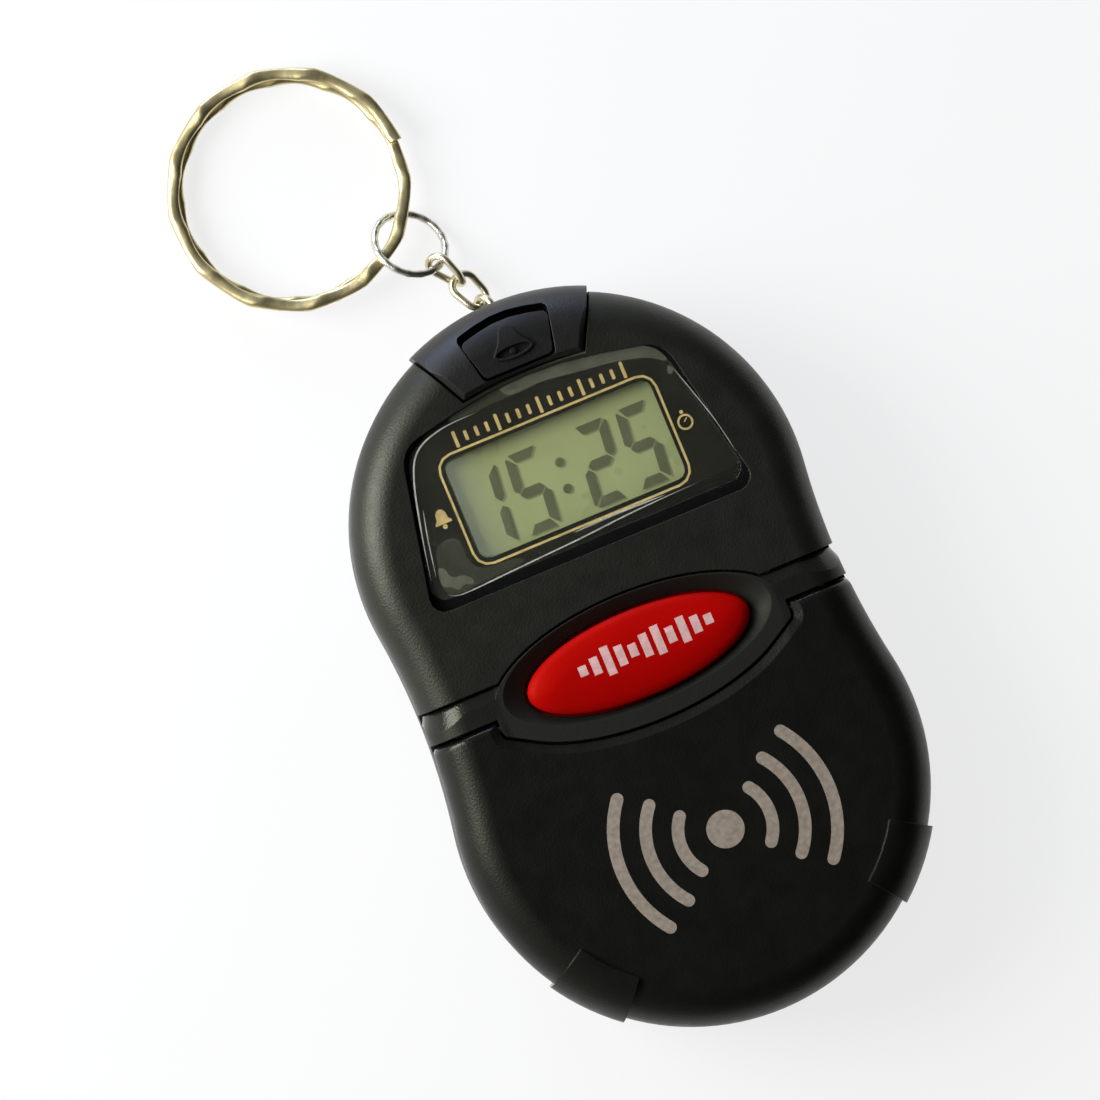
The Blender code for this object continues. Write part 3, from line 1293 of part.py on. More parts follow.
def make_small_ring():
    points = [(x, y, 0) for x, y in arc(0, 0, SMALL_RING_RADIUS, 0, 360, SMALL_RING_STEPS)]
    made = wire("small_ring", points, [SMALL_RING_WIRE] * len(points), True, PALE_BRASS)
    across = Matrix.Rotation(math.radians(KEY_RING_HEADING), 3, "Z") @ Vector((-1, 0, 0))
    made.matrix_world = Matrix.Translation(SMALL_RING_CENTRE) @ Matrix.Rotation(
        math.radians(-SMALL_RING_TILT), 4, across
    )


def make_key_ring():
    """A split ring: a flattened wire wound on top, across one strand and on below, scooped between ridges."""
    flatness = KEY_RING_THICKNESS / (2 * KEY_RING_WIRE)
    pitch = 2 * KEY_RING_WIRE + KEY_RING_TURN_GAP / flatness
    whole_sweep = 720 - KEY_RING_STRAND_SWEEP
    count = round(KEY_RING_POINTS * whole_sweep / 360)
    points = []
    radii = []
    for step in range(count + 1):
        sweep = whole_sweep * step / count
        angle = math.radians(sweep)
        fall = min(max((sweep - 360) / KEY_RING_STRAND_SWEEP + 1, 0), 1)
        height = pitch * (0.5 - fall * fall * (3 - 2 * fall))
        points.append((KEY_RING_RADIUS * math.cos(angle), KEY_RING_RADIUS * math.sin(angle), height))
        ripple = (1 - math.cos(angle * KEY_RING_RIDGES)) / 2
        radii.append(KEY_RING_WIRE - KEY_RING_SCOOP * ripple)
    made = wire("key_ring", points, radii, False, PALE_BRASS)
    away = Matrix.Rotation(math.radians(KEY_RING_HEADING), 4, "Z")
    back = Matrix.Rotation(math.radians(KEY_RING_HEADING - 180), 4, "Z")
    centre = Vector((SMALL_RING_CENTRE[0], SMALL_RING_CENTRE[1], KEY_RING_Z))
    centre += away @ Vector((KEY_RING_RADIUS + KEY_RING_HANG, 0, 0))
    tip = back @ Matrix.Rotation(math.radians(-KEY_RING_TILT), 4, "Y")
    spin = Matrix.Rotation(math.radians(KEY_RING_START - KEY_RING_HEADING + 180), 4, "Z")
    flatten = Matrix.Diagonal((1, 1, flatness, 1))
    made.matrix_world = Matrix.Translation(centre) @ tip @ spin @ flatten


make_rear_shell()
make_front_shell()
make_centre_frame()
make_flip_cover()
make_top_cap()
make_bell_key()
make_lens()
make_talk_button()
for key_index in range(SET_KEY_COUNT):
    make_set_key(key_index)
make_key_mat()
make_main_board()
make_display()
make_board_parts()
make_speaker()
make_cells()
make_battery_door()
make_screws()
chain_pin_bar("chain_pin", PIN_RADIUS, PIN_SEAT, 16, STEEL, parts)
make_chain()
make_small_ring()
make_key_ring()
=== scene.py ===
"""The talking keychain clock, dressed: fine mouldings, printed window, display, rings and chain
over the CAD frame, on a pale floor in soft studio light. Metres, in the frame's coordinates."""

import json
import math

import bmesh
import bpy
from mathutils import Matrix, Vector
from mathutils.bvhtree import BVHTree

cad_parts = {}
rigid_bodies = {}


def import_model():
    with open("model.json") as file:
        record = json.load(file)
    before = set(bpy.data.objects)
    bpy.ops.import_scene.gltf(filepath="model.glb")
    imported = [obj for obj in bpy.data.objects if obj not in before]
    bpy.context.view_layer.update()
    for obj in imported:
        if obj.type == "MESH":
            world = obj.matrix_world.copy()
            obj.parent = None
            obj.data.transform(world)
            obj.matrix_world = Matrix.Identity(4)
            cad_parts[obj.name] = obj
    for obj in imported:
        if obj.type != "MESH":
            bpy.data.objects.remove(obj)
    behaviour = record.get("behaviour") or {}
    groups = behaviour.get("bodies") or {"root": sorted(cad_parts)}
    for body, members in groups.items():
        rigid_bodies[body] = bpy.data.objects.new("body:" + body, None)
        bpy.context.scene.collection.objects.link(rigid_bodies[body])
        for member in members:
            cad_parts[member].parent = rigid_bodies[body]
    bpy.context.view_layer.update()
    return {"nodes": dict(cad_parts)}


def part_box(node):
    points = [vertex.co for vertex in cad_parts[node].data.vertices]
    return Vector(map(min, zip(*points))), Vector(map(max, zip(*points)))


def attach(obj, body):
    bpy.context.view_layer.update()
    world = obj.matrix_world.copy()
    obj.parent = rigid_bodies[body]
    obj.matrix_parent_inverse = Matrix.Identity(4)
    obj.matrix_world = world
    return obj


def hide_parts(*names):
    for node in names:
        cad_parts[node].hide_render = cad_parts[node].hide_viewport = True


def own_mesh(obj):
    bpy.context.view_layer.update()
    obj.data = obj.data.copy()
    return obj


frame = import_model()

# Sizes: most are those of the model's source, with finer steps and detail
UPPER_RADIUS = 0.0230
UPPER_CENTRE_Y = 0.01475
LOWER_RADIUS = 0.02385
LOWER_CENTRE_Y = -0.01365
WAIST_RADIUS = 0.070
LOBE_STEPS = 72
WAIST_STEPS = 14
CASE_THICKNESS = 0.0160
FRONT_ROUND = 0.0040
BACK_ROUND = 0.0025
ROUND_STEPS = 10
WALL = 0.0016
PARTING_HEIGHT = 0.0080
FACE_WALL = 0.0020
SEAM = 0.00025
TONGUE_HEIGHT = 0.0007
TONGUE_INSET = 0.00095
FAR = 0.060
BAND_TOP_Y = 0.00305
BAND_BOTTOM_Y = 0.0
BAND_CHAMFER = 0.0011
BAND_CHAMFER_DROP = 0.00045
BEZEL_CENTRE_Y = 0.0003
BEZEL_HALF_WIDTH = 0.0154
BEZEL_HALF_HEIGHT = 0.0064
SHOULDER_Y = -0.00135
SHOULDER_RADIUS = 0.0008
SHOULDER_SWEEP = 60
SHOULDER_BLEND_X = 0.0126
BEZEL_STEPS = 66
DISH_CENTRE_Y = 0.0011
DISH_HALF_WIDTH = 0.0142
DISH_HALF_HEIGHT = 0.0055
DISH_DEPTH = 0.0012
BUTTON_CENTRE_Y = 0.0007
BUTTON_HALF_WIDTH = 0.01175
BUTTON_HALF_HEIGHT = 0.0043
BUTTON_CROWN = 0.0006
BUTTON_EDGE_DROP = 0.0005
BUTTON_FLANGE = 0.0007
BUTTON_FLANGE_THICKNESS = 0.0007
BUTTON_STEPS = 120
CROWN_SHARES = (0.93, 0.78, 0.5, 0.2)
LEDGE_HEIGHT = 0.0096
DECK_TOP = 0.0132
DECK_THICKNESS = 0.0010
DECK_INSET = 0.0026
DECK_WALL = 0.0010
DECK_CHAMFER = 0.0005
COVER_WALL = 0.0015
COVER_GAP = 0.0003
HINGE_RADIUS = 0.0008
HINGE_EDGE_GAP = 0.0002
HINGE_STEP = 10
PIVOT_RADIUS = 0.0005
PIVOT_LENGTH = 0.0014
PIVOT_CLEARANCE = 0.0001
NOTCH_CHAMFER = 0.0009
NOTCH_CHAMFER_DROP = 0.00028
GRIP_PROUD = 0.0005
GRIP_START_ANGLE = 32
GRIP_END_ANGLE = 51
GRIP_INNER_RADIUS = 0.0195
GRIP_BASE = 0.0105
LENS_BOTTOM_Y = 0.0117
LENS_BOTTOM_HALF_WIDTH = 0.0174
LENS_TOP_Y = 0.0282
LENS_TOP_HALF_WIDTH = 0.0140
LENS_PEAK_Y = 0.0311
LENS_CORNER = 0.0015
LENS_TOP_CORNER = 0.0030
LENS_TOP_RADIUS = 0.038
LENS_POCKET_DEPTH = 0.0012
LENS_THICKNESS = 0.0007
LENS_SIDE_GAP = 0.0004
LENS_BOTTOM_GAP = 0.0011
VIEW_SIDES = (-0.0108, 0.0113, 0.0150, 0.0255)
VIEW_CORNER = 0.0010
WINDOW_CENTRE_Y = 0.0202
WINDOW_WIDTH = 0.0234
WINDOW_HEIGHT = 0.0118
WINDOW_CORNER = 0.0016
CAP_PROUD = 0.0006
CAP_APEX_Y = 0.0180
CAP_HALF_ANGLE = 27.3
CAP_BOTTOM_Y = 0.0303
CAP_BOTTOM_RISE = 0.0005
CAP_BEVEL = 0.0005
KEY_BOTTOM_Y = 0.0313
KEY_TOP_Y = 0.0360
KEY_PEAK_RISE = 0.0006
KEY_TOP_RADIUS = 0.0110
KEY_BOTTOM_HALF_WIDTH = 0.0036
KEY_TOP_HALF_WIDTH = 0.0047
KEY_SLOT = 0.0008
KEY_CORNER = 0.0006
KEY_GAP = 0.0002
KEY_THICKNESS = 0.0018
KEY_SINK_ANGLE = 2.5
BELL_RISE = 0.0003
BELL_MOUTH_Y = 0.0329
BELL_MOUTH_HALF_WIDTH = 0.0021
BELL_MOUTH_HALF_HEIGHT = 0.00075
BELL_TOP_Y = 0.0356
BELL_TOP_HALF_WIDTH = 0.0008
BELL_WAIST_Y = 0.0340
BELL_WAIST_HALF_WIDTH = 0.0012
BELL_LIP = 0.00025
CLAPPER_RADIUS = 0.0003
PART_GAP = 0.0003
SET_KEY_COUNT = 4
SET_KEY_PITCH = 0.0080
SET_KEY_Y = -0.0150
SET_KEY_WIDTH = 0.0052
SET_KEY_DEPTH = 0.0034
SET_KEY_CORNER = 0.0008
MAT_LOW = 0.0102
MAT_TOP = 0.01068
SET_DOME_RADIUS = 0.0018
TALK_DOME_RADIUS = 0.0035
DOME_ROOT = 0.00002
DOME_HEIGHT = 0.00044
DOME_ROWS = ((1.0, 0), (1.0, 0.1), (0.93, 0.4), (0.8, 0.78), (0.6, 1.0))
SPEAKER_Y = -0.0160
GRILLE_HOLE_RADIUS = 0.0008
GRILLE_PITCH = 0.0036
GRILLE_RINGS = 2
BAR_STEPS = 16
BORE_STEPS = 40
HOLE_STEPS = 24
DOME_STEPS = 40
CELL_RADIUS = 0.0058
CELL_GAP = 0.0006
CELL_Y = 0.0150
DOOR_THICKNESS = 0.0012
DOOR_CORNER = 0.0015
DOOR_EAR_RADIUS = 0.0026
SCREW_HEAD_RADIUS = 0.0017
SCREW_CLEARANCE = 0.0003
SCREW_SHOULDER = 0.0034
UPPER_BOSS = (0.0176, 0.0190)
LOWER_BOSS = (0.0159, -0.0237)
PIN_RADIUS = 0.0005
PIN_X = 0.0009
PIN_Y = 0.0369
PIN_Z = 0.0027
PIN_SEAT = 0.0012
PIN_CLEARANCE = 0.00004
SLOT_WIDTH = 0.0030
SLOT_BOTTOM = 0.0008
SLOT_TOP = 0.0052
SLOT_DEPTH_Y = 0.0346
LINK_WIRE = 0.00038
LINK_WIDTH = 0.0033
LINK_LENGTH = 0.0048
LINK_TWIST = 40
LINK_BEND_STEPS = 20
LINK_GAP = 0.00012
LINK_TURNS = ((112, 0, -75), (114, 2, 18), (120, 8, -60))
SMALL_RING_RADIUS = 0.0037
SMALL_RING_WIRE = 0.0004
SMALL_RING_FULL = 1.05
SMALL_RING_DENT = 0.12
SMALL_RING_DENTS = 18
SMALL_RING_CENTRE = (-0.0046, 0.0474, 0.00285)
SMALL_RING_TILT = 34
SMALL_RING_STEPS = 120
KEY_RING_RADIUS = 0.01175
KEY_RING_WIRE = 0.00078
KEY_RING_SCOOP = 0.00024
KEY_RING_SCOOP_OUT = 0.9
KEY_RING_SCOOP_UP = 1.3
KEY_RING_SLANT = 0.45
KEY_RING_SQUARENESS = 0.75
KEY_RING_THICKNESS = 0.00112
KEY_RING_TURN_GAP = 0.0003
KEY_RING_RIDGES = 12.5
KEY_RING_POINTS = 312
KEY_RING_SECTION = 18
KEY_RING_SPREAD = 0.0003
KEY_RING_HEADING = 133.05
KEY_RING_HANG = 0.00152
KEY_RING_Z = 0.0022
KEY_RING_TILT = 3.5
KEY_RING_START = 2
KEY_RING_STRAND_SWEEP = 64
SHARP_ANGLE = 32
FRAME_SHARP_ANGLE = 18
COVER_SHARP_ANGLE = 12
DOUBLES_GAP = 0.000002
SHORTEST_EDGE = 0.000001
NODE_WELD = 0.000005
NODE_SPLIT_ANGLE = 35

FRONT_BASE = PARTING_HEIGHT + SEAM / 2
REAR_TOP = PARTING_HEIGHT - SEAM / 2
REBATE_INSET = TONGUE_INSET - PART_GAP
REBATE_TOP = REAR_TOP + TONGUE_HEIGHT + PART_GAP
CEILING = CASE_THICKNESS - FACE_WALL
POCKET_FLOOR = CASE_THICKNESS - LENS_POCKET_DEPTH
LENS_TOP = POCKET_FLOOR + PART_GAP + LENS_THICKNESS
LENS_LOW = LENS_TOP - LENS_THICKNESS
DISH_FLOOR = CASE_THICKNESS - DISH_DEPTH
DECK_LOW = DECK_TOP - DECK_THICKNESS
BUTTON_SHELF = DISH_FLOOR - DECK_THICKNESS
PIVOT_SEAT = BEZEL_HALF_WIDTH + COVER_GAP
HINGE_Y = BAND_BOTTOM_Y - HINGE_EDGE_GAP - HINGE_RADIUS
HINGE_Z = CASE_THICKNESS - HINGE_RADIUS
COMPARTMENT = (4 * CELL_RADIUS + 3 * CELL_GAP, 2 * CELL_RADIUS + 2 * CELL_GAP)
DOOR_SCREW_Y = CELL_Y + COMPARTMENT[1] / 2 + DOOR_EAR_RADIUS

parts = bpy.data.collections.new("pieces")
cutters = bpy.data.collections.new("cutters")
for group in (parts, cutters):
    bpy.context.scene.collection.children.link(group)


# Outlines


def arc(centre_x, centre_y, radius, start, end, steps, last=0):
    """Points from start towards end, in degrees, with the end itself where last is 1."""
    turns = [math.radians(start + (end - start) * step / steps) for step in range(steps + last)]
    return [(centre_x + radius * math.cos(a), centre_y + radius * math.sin(a)) for a in turns]


def ellipse(centre_y, half_width, half_height, steps, start=0, end=360, last=0):
    """An oval about a point of the Y axis, or an arc of it."""
    unit = arc(0, 0, 1, start, end, steps, last)
    return [(half_width * x, centre_y + half_height * y) for x, y in unit]


def mirrored(points):
    return [(-x, y) for x, y in reversed(points)]


def case_outline(inset):
    """The case's edge, moved inwards by inset: its arcs keep their centres."""
    upper_reach = UPPER_RADIUS + WAIST_RADIUS
    lower_reach = LOWER_RADIUS + WAIST_RADIUS
    waist_y = upper_reach**2 - lower_reach**2 + LOWER_CENTRE_Y**2 - UPPER_CENTRE_Y**2
    waist_y /= 2 * (LOWER_CENTRE_Y - UPPER_CENTRE_Y)
    waist_x = math.sqrt(upper_reach**2 - (waist_y - UPPER_CENTRE_Y) ** 2)
    upper_turn = math.degrees(math.atan2(UPPER_CENTRE_Y - waist_y, waist_x))
    lower_turn = math.degrees(math.atan2(waist_y - LOWER_CENTRE_Y, waist_x))
    upper, lower, waist = UPPER_RADIUS - inset, LOWER_RADIUS - inset, WAIST_RADIUS + inset
    points = arc(0, UPPER_CENTRE_Y, upper, -upper_turn, 180 + upper_turn, LOBE_STEPS)
    points += arc(-waist_x, waist_y, waist, upper_turn, -lower_turn, WAIST_STEPS)
    points += arc(0, LOWER_CENTRE_Y, lower, 180 - lower_turn, 360 + lower_turn, LOBE_STEPS)
    points += arc(waist_x, waist_y, waist, 180 + lower_turn, 180 - upper_turn, WAIST_STEPS)
    return points


def rounded(corners, steps=4):
    """An outline with each corner (x, y, radius) turned into an arc."""
    points = []
    for index, (x, y, radius) in enumerate(corners):
        here = Vector((x, y))
        back = (Vector(corners[index - 1][:2]) - here).normalized()
        ahead = (Vector(corners[(index + 1) % len(corners)][:2]) - here).normalized()
        half = back.angle(ahead) / 2
        centre = here + (back + ahead).normalized() * radius / math.sin(half)
        first = here + back * radius / math.tan(half) - centre
        last = here + ahead * radius / math.tan(half) - centre
        sweep = first.angle_signed(last)
        for step in range(steps + 1):
            points.append(tuple(centre + Matrix.Rotation(-sweep * step / steps, 2) @ first))
    return points


def rounded_box(centre_x, centre_y, width, height, corner):
    left, right = centre_x - width / 2, centre_x + width / 2
    low, high = centre_y - height / 2, centre_y + height / 2
    corners = [(left, low), (right, low), (right, high), (left, high)]
    return rounded([(x, y, corner) for x, y in corners], 3)


def grown(points, distance):
    """The outline moved outwards by distance, or inwards where it is negative."""
    moved = []
    for index, point in enumerate(points):
        here = Vector(point)
        into = (here - Vector(points[index - 1])).normalized()
        out_of = (Vector(points[(index + 1) % len(points)]) - here).normalized()
        along = (into + out_of).normalized()
        reach = distance / max(along.dot(into), 0.5)
        moved.append((here.x + along.y * reach, here.y - along.x * reach))
    return moved


def bezel_outline():
    """An ellipse with upright shoulders where the cover's pivots sit."""
    oval = BEZEL_CENTRE_Y, BEZEL_HALF_WIDTH, BEZEL_HALF_HEIGHT
    upper = ellipse(*oval, BEZEL_STEPS, 0, 180, last=1)
    shoulder_x = BEZEL_HALF_WIDTH - SHOULDER_RADIUS
    left = arc(-shoulder_x, SHOULDER_Y, SHOULDER_RADIUS, 180, 180 + SHOULDER_SWEEP, 3)
    blend = math.degrees(math.acos(SHOULDER_BLEND_X / BEZEL_HALF_WIDTH))
    lower = ellipse(*oval, BEZEL_STEPS - 6, 180 + blend, 360 - blend)
    return upper + left + lower + [(SHOULDER_BLEND_X, lower[0][1])] + mirrored(left)


# Building


def ring(points, height):
    return [(x, y, height) for x, y in points]


def made_of(builder, name, finish=None):
    """An object with the builder's mesh: a piece where it has a finish, or else a cutter."""
    bmesh.ops.recalc_face_normals(builder, faces=builder.faces)
    mesh = bpy.data.meshes.new(name)
    builder.to_mesh(mesh)
    builder.free()
    made = bpy.data.objects.new(name, mesh)
    if finish:
        mesh.materials.append(FINISH[finish])
    (parts if finish else cutters).objects.link(made)
    return made


def skin(builder, rings):
    """Adds a closed solid through rings of equal count, with a flat cap at each end."""
    rows = [[builder.verts.new(point) for point in points] for points in rings]
    for lower, upper in zip(rows, rows[1:]):
        for index in range(len(lower)):
            corners = lower[index - 1], lower[index], upper[index], upper[index - 1]
            builder.faces.new(corners)
    builder.faces.new(rows[0])
    builder.faces.new(rows[-1])


def loft(name, rings, finish=None):
    builder = bmesh.new()
    skin(builder, rings)
    return made_of(builder, name, finish)


def prism(name, points, low, high, finish=None):
    return loft(name, [ring(points, low), ring(points, high)], finish)


def rod(name, middle, radius, length, steps, upright=False):
    """A round bar about its middle, along X or upright."""
    builder = bmesh.new()
    size = {"radius1": radius, "radius2": radius, "depth": length}
    bmesh.ops.create_cone(builder, cap_ends=True, segments=steps, **size)
    if not upright:
        level = Matrix.Rotation(math.pi / 2, 3, "Y")
        bmesh.ops.rotate(builder, matrix=level, verts=builder.verts)
    made = made_of(builder, name)
    made.location = middle
    return made


def cylinder(name, spot, radius, low, high, steps):
    return rod(name, (*spot, (low + high) / 2), radius, high - low, steps, upright=True)


def box(name, low, high):
    """A box between two opposite corners."""
    builder = bmesh.new()
    bmesh.ops.create_cube(builder, size=1)
    sides = [top - bottom for bottom, top in zip(low, high)]
    bmesh.ops.scale(builder, vec=sides, verts=builder.verts)
    made = made_of(builder, name)
    made.location = [(bottom + top) / 2 for bottom, top in zip(low, high)]
    return made


def boolean(operation):
    """A function that changes its first piece by each of the others."""

    def change(target, *others):
        for other in others:
            modifier = target.modifiers.new(other.name, "BOOLEAN")
            modifier.operation = operation
            modifier.object = other
        return target

    return change


cut, join, keep = [boolean(name) for name in ("DIFFERENCE", "UNION", "INTERSECT")]


# Materials

NOISE_LOW, NOISE_HIGH = 0.3, 0.7
MOTTLE_DETAIL, GRAIN_DETAIL = 3.0, 2.0
SOFT_EDGE = 0.00012
BEVEL_SAMPLES = 6


def shader_of(name):
    made = bpy.data.materials.new(name)
    made.use_nodes = True
    return made, made.node_tree, made.node_tree.nodes["Principled BSDF"]


def add_node(tree, kind, inputs=(), out=0, **fields):
    """Adds a node, feeds its inputs values or other nodes' outputs, and gives an output of it."""
    made = tree.nodes.new("ShaderNode" + kind)
    for field, value in fields.items():
        setattr(made, field, value)
    for socket, value in dict(inputs).items():
        if isinstance(value, bpy.types.NodeSocket):
            tree.links.new(value, made.inputs[socket])
        else:
            made.inputs[socket].default_value = value
    return made.outputs[out]


def noise(tree, place, scale, detail=MOTTLE_DETAIL):
    return add_node(tree, "TexNoise", {"Vector": place, "Scale": scale, "Detail": detail}, "Fac")


def ranged(tree, value, low, high, start=NOISE_LOW, end=NOISE_HIGH):
    """The value's range from start to end, turned into one from low to high."""
    limits = {"From Min": start, "From Max": end, "To Min": low, "To Max": high}
    return add_node(tree, "MapRange", {"Value": value, **limits}, "Result")


def blended(tree, value, first, second):
    colours = {0: value, 6: (*first, 1), 7: (*second, 1)}
    return add_node(tree, "Mix", colours, 2, data_type="RGBA")


def surface(
    name, colour, spread, roughness, rough_spread, grain, depth, fixed=(), patch=160, edge=SOFT_EDGE
):
    """A moulded or plated finish: mottled colour, uneven gloss, fine grain and softened edges."""
    made, tree, shader = shader_of(name)
    place = add_node(tree, "TexCoord", out="Object")
    dark = [channel * (1 - spread) for channel in colour]
    light = [min(channel * (1 + spread), 1) for channel in colour]
    mottle = ranged(tree, noise(tree, place, patch), 0, 1)
    gloss = noise(tree, place, patch * 3)
    gloss = ranged(tree, gloss, roughness - rough_spread, roughness + rough_spread)
    bump = {"Strength": 1.0, "Distance": depth / 1000000}
    bump["Height"] = noise(tree, place, grain, GRAIN_DETAIL)
    if edge:
        bump["Normal"] = add_node(tree, "Bevel", {"Radius": edge}, samples=BEVEL_SAMPLES)
    tree.links.new(blended(tree, mottle, dark, light), shader.inputs["Base Color"])
    tree.links.new(gloss, shader.inputs["Roughness"])
    tree.links.new(add_node(tree, "Bump", bump), shader.inputs["Normal"])
    for socket, value in dict(fixed).items():
        shader.inputs[socket].default_value = value
    return made


SHEEN, TINT = "Specular IOR Level", "Specular Tint"
WARM = {TINT: (0.98, 1.0, 0.80, 1)}
METAL = {"Metallic": 1.0}
GLASSY = {"Transmission Weight": 1.0, "IOR": 1.49}

# Each finish: its colour and how far that varies, its roughness and how far that varies, the
# scale of its grain, the grain's depth in micrometres, other sockets of the shader, the scale of
# its mottling, and 0 where its edges stay sharp
FINISH_ROWS = {
    "satin_black_plastic": ((0.0078, 0.0075, 0.0062), 0.12, 0.42, 0.04, 4200, 28, WARM),
    "cap_black_plastic": ((0.0078, 0.0075, 0.0062), 0.12, 0.42, 0.04, 4200, 28),
    "key_black_plastic": ((0.0055, 0.0055, 0.0046), 0.12, 0.46, 0.04, 4200, 22, {SHEEN: 0.34}),
    # The cover's black is darker than the case's: painted shade for the lower lobe, away from the
    # light
    "cover_plastic_painted_darker": (
        (0.0040, 0.0040, 0.0032), 0.12, 0.38, 0.04, 4200, 24, {SHEEN: 0.32, **WARM}
    ),
    "frame_black_plastic": (
        (0.0055, 0.0055, 0.0046), 0.12, 0.46, 0.04, 4200, 22, {SHEEN: 0.36, **WARM}
    ),
    "deck_black_plastic": ((0.010, 0.010, 0.009), 0.10, 0.48, 0.04, 6000, 8),
    "red_plastic": (
        (0.42, 0.0016, 0.0010), 0.06, 0.42, 0.04, 2600, 4, {SHEEN: 0.14, TINT: (1.0, 0.22, 0.12, 1)}
    ),
    "clear_window": ((0.95, 0.96, 0.92), 0.01, 0.05, 0.02, 900, 1, GLASSY, 160, 0),
    "window_film": ((0.50, 0.52, 0.36), 0.20, 0.20, 0.06, 900, 4, {"Alpha": 0.007}, 300, 0),
    "film_haze": ((0.50, 0.52, 0.36), 0.20, 0.22, 0.06, 900, 5, {"Alpha": 0.028}, 400, 0),
    "film_air": ((0.52, 0.54, 0.38), 0.20, 0.26, 0.06, 900, 6, {"Alpha": 0.082}, 500, 0),
    # Painted reflection: a pale patch over the display's left side
    "film_painted_reflection": ((0.48, 0.54, 0.42), 0.12, 0.30, 0.06, 900, 4, {}, 300, 0),
    # Painted shade: near-black sheet on the pocket floor round the window
    "window_gasket": ((0.0016, 0.0016, 0.0014), 0.20, 0.70, 0.05, 3000, 6, {SHEEN: 0.1}, 160, 0),
    # Painted highlight: pale lines along the film's edges and creases
    "film_edge_glint": ((0.78, 0.78, 0.68), 0.25, 0.22, 0.06, 2500, 6, {"Alpha": 0.30}, 900, 0),
    "window_mask": ((0.0065, 0.0060, 0.0034), 0.25, 0.22, 0.05, 2500, 2, {}, 160, 0),
    "gold_print": ((0.45, 0.335, 0.125), 0.18, 0.42, 0.06, 9000, 3, {"Metallic": 0.1}, 1500, 0),
    "display_glass": ((0.250, 0.276, 0.128), 0.05, 0.30, 0.04, 3000, 2, {}, 60, 0),
    "display_digits": ((0.084, 0.090, 0.045), 0.10, 0.32, 0.04, 3000, 2, {}, 300, 0),
    # Painted shadow of the digits on the display
    "display_digit_painted_shadow": ((0.165, 0.178, 0.085), 0.07, 0.35, 0.04, 3000, 2, {}, 300, 0),
    "silver_ink": ((0.34, 0.28, 0.22), 0.20, 0.55, 0.08, 9000, 8, {"Metallic": 0.1}, 1800, 0),
    "pale_ink": ((0.72, 0.44, 0.41), 0.14, 0.40, 0.08, 8000, 4, {}, 1600, 0),
    "pale_brass_plate": ((0.70, 0.60, 0.32), 0.14, 0.36, 0.06, 2200, 12, METAL, 320, 0),
    "chain_plate": ((0.70, 0.64, 0.45), 0.12, 0.30, 0.06, 2200, 10, METAL, 420, 0),
    "nickel_plate": ((0.76, 0.73, 0.64), 0.10, 0.25, 0.05, 1800, 8, METAL, 300, 0),
    "plated_steel": ((0.58, 0.58, 0.56), 0.10, 0.30, 0.06, 3000, 4, METAL),
    "nickel_strip": ((0.66, 0.62, 0.54), 0.10, 0.26, 0.05, 3500, 3, METAL),
    "white_plastic": ((0.74, 0.74, 0.71), 0.04, 0.45, 0.05, 5000, 5),
    "solder_mask": ((0.02, 0.13, 0.06), 0.25, 0.36, 0.06, 3500, 6, {}, 500),
    "potting_epoxy": ((0.014, 0.014, 0.015), 0.25, 0.24, 0.06, 1800, 12),
    "silicone_rubber": ((0.20, 0.20, 0.21), 0.08, 0.66, 0.05, 4500, 8),
    "black_foam": ((0.02, 0.02, 0.02), 0.35, 0.90, 0.05, 2500, 50),
    "cone_film": ((0.42, 0.36, 0.25), 0.10, 0.42, 0.06, 2500, 6),
    "ferrite": ((0.07, 0.07, 0.072), 0.20, 0.55, 0.08, 4000, 10),
}
FINISH = {name: surface(name, *row) for name, row in FINISH_ROWS.items()}

# The waist's steps are glossier at its two ends, and the oval round the button has its own share
POLISHED_SHARE = 0.4
POLISHED_SLOPE = (0.20, 0.28)
POLISHED_FROM = (DISH_HALF_WIDTH, DISH_HALF_WIDTH + 0.0006)
for name, oval_share in (("cover_plastic_painted_darker", 1.0), ("frame_black_plastic", 1.5)):
    tree = FINISH[name].node_tree
    coords = tree.nodes["Texture Coordinate"].outputs
    facing = add_node(tree, "SeparateXYZ", {0: coords["Normal"]}, "Y")
    share = ranged(tree, facing, 1.0, POLISHED_SHARE, *POLISHED_SLOPE)
    place = add_node(tree, "SeparateXYZ", {0: coords["Object"]}, "X")
    reach = add_node(tree, "Math", {0: place}, operation="ABSOLUTE")
    outside = ranged(tree, reach, 0, 1, *POLISHED_FROM)
    chosen = add_node(tree, "Mix", {0: outside, 2: oval_share, 3: share})
    rough = tree.nodes["Principled BSDF"].inputs["Roughness"]
    factors = {0: rough.links[0].from_socket, 1: chosen}
    tree.links.new(add_node(tree, "Math", factors, operation="MULTIPLY"), rough)

# A pale patch on the window's film is painted reflection over the display's left side; it thins out
# from that side
REFLECTION_DENSITY = 0.15
REFLECTION_FROM, REFLECTION_TO = VIEW_SIDES[0], -0.0068
tree = FINISH["film_painted_reflection"].node_tree
place = tree.nodes["Texture Coordinate"].outputs["Object"]
across = add_node(tree, "SeparateXYZ", {0: place}, "X")
thinning = ranged(tree, across, REFLECTION_DENSITY, 0.0, REFLECTION_FROM, REFLECTION_TO)
tree.links.new(thinning, tree.nodes["Principled BSDF"].inputs["Alpha"])


# Forms of the case


def rounded_rise(top, radius, inset):
    """(inset, height) pairs of a quarter round that ends flat at top."""
    pairs = []
    for step in range(ROUND_STEPS + 1):
        angle = math.pi / 2 * step / ROUND_STEPS
        pairs.append((inset + radius * (1 - math.cos(angle)), top - radius * (1 - math.sin(angle))))
    return pairs


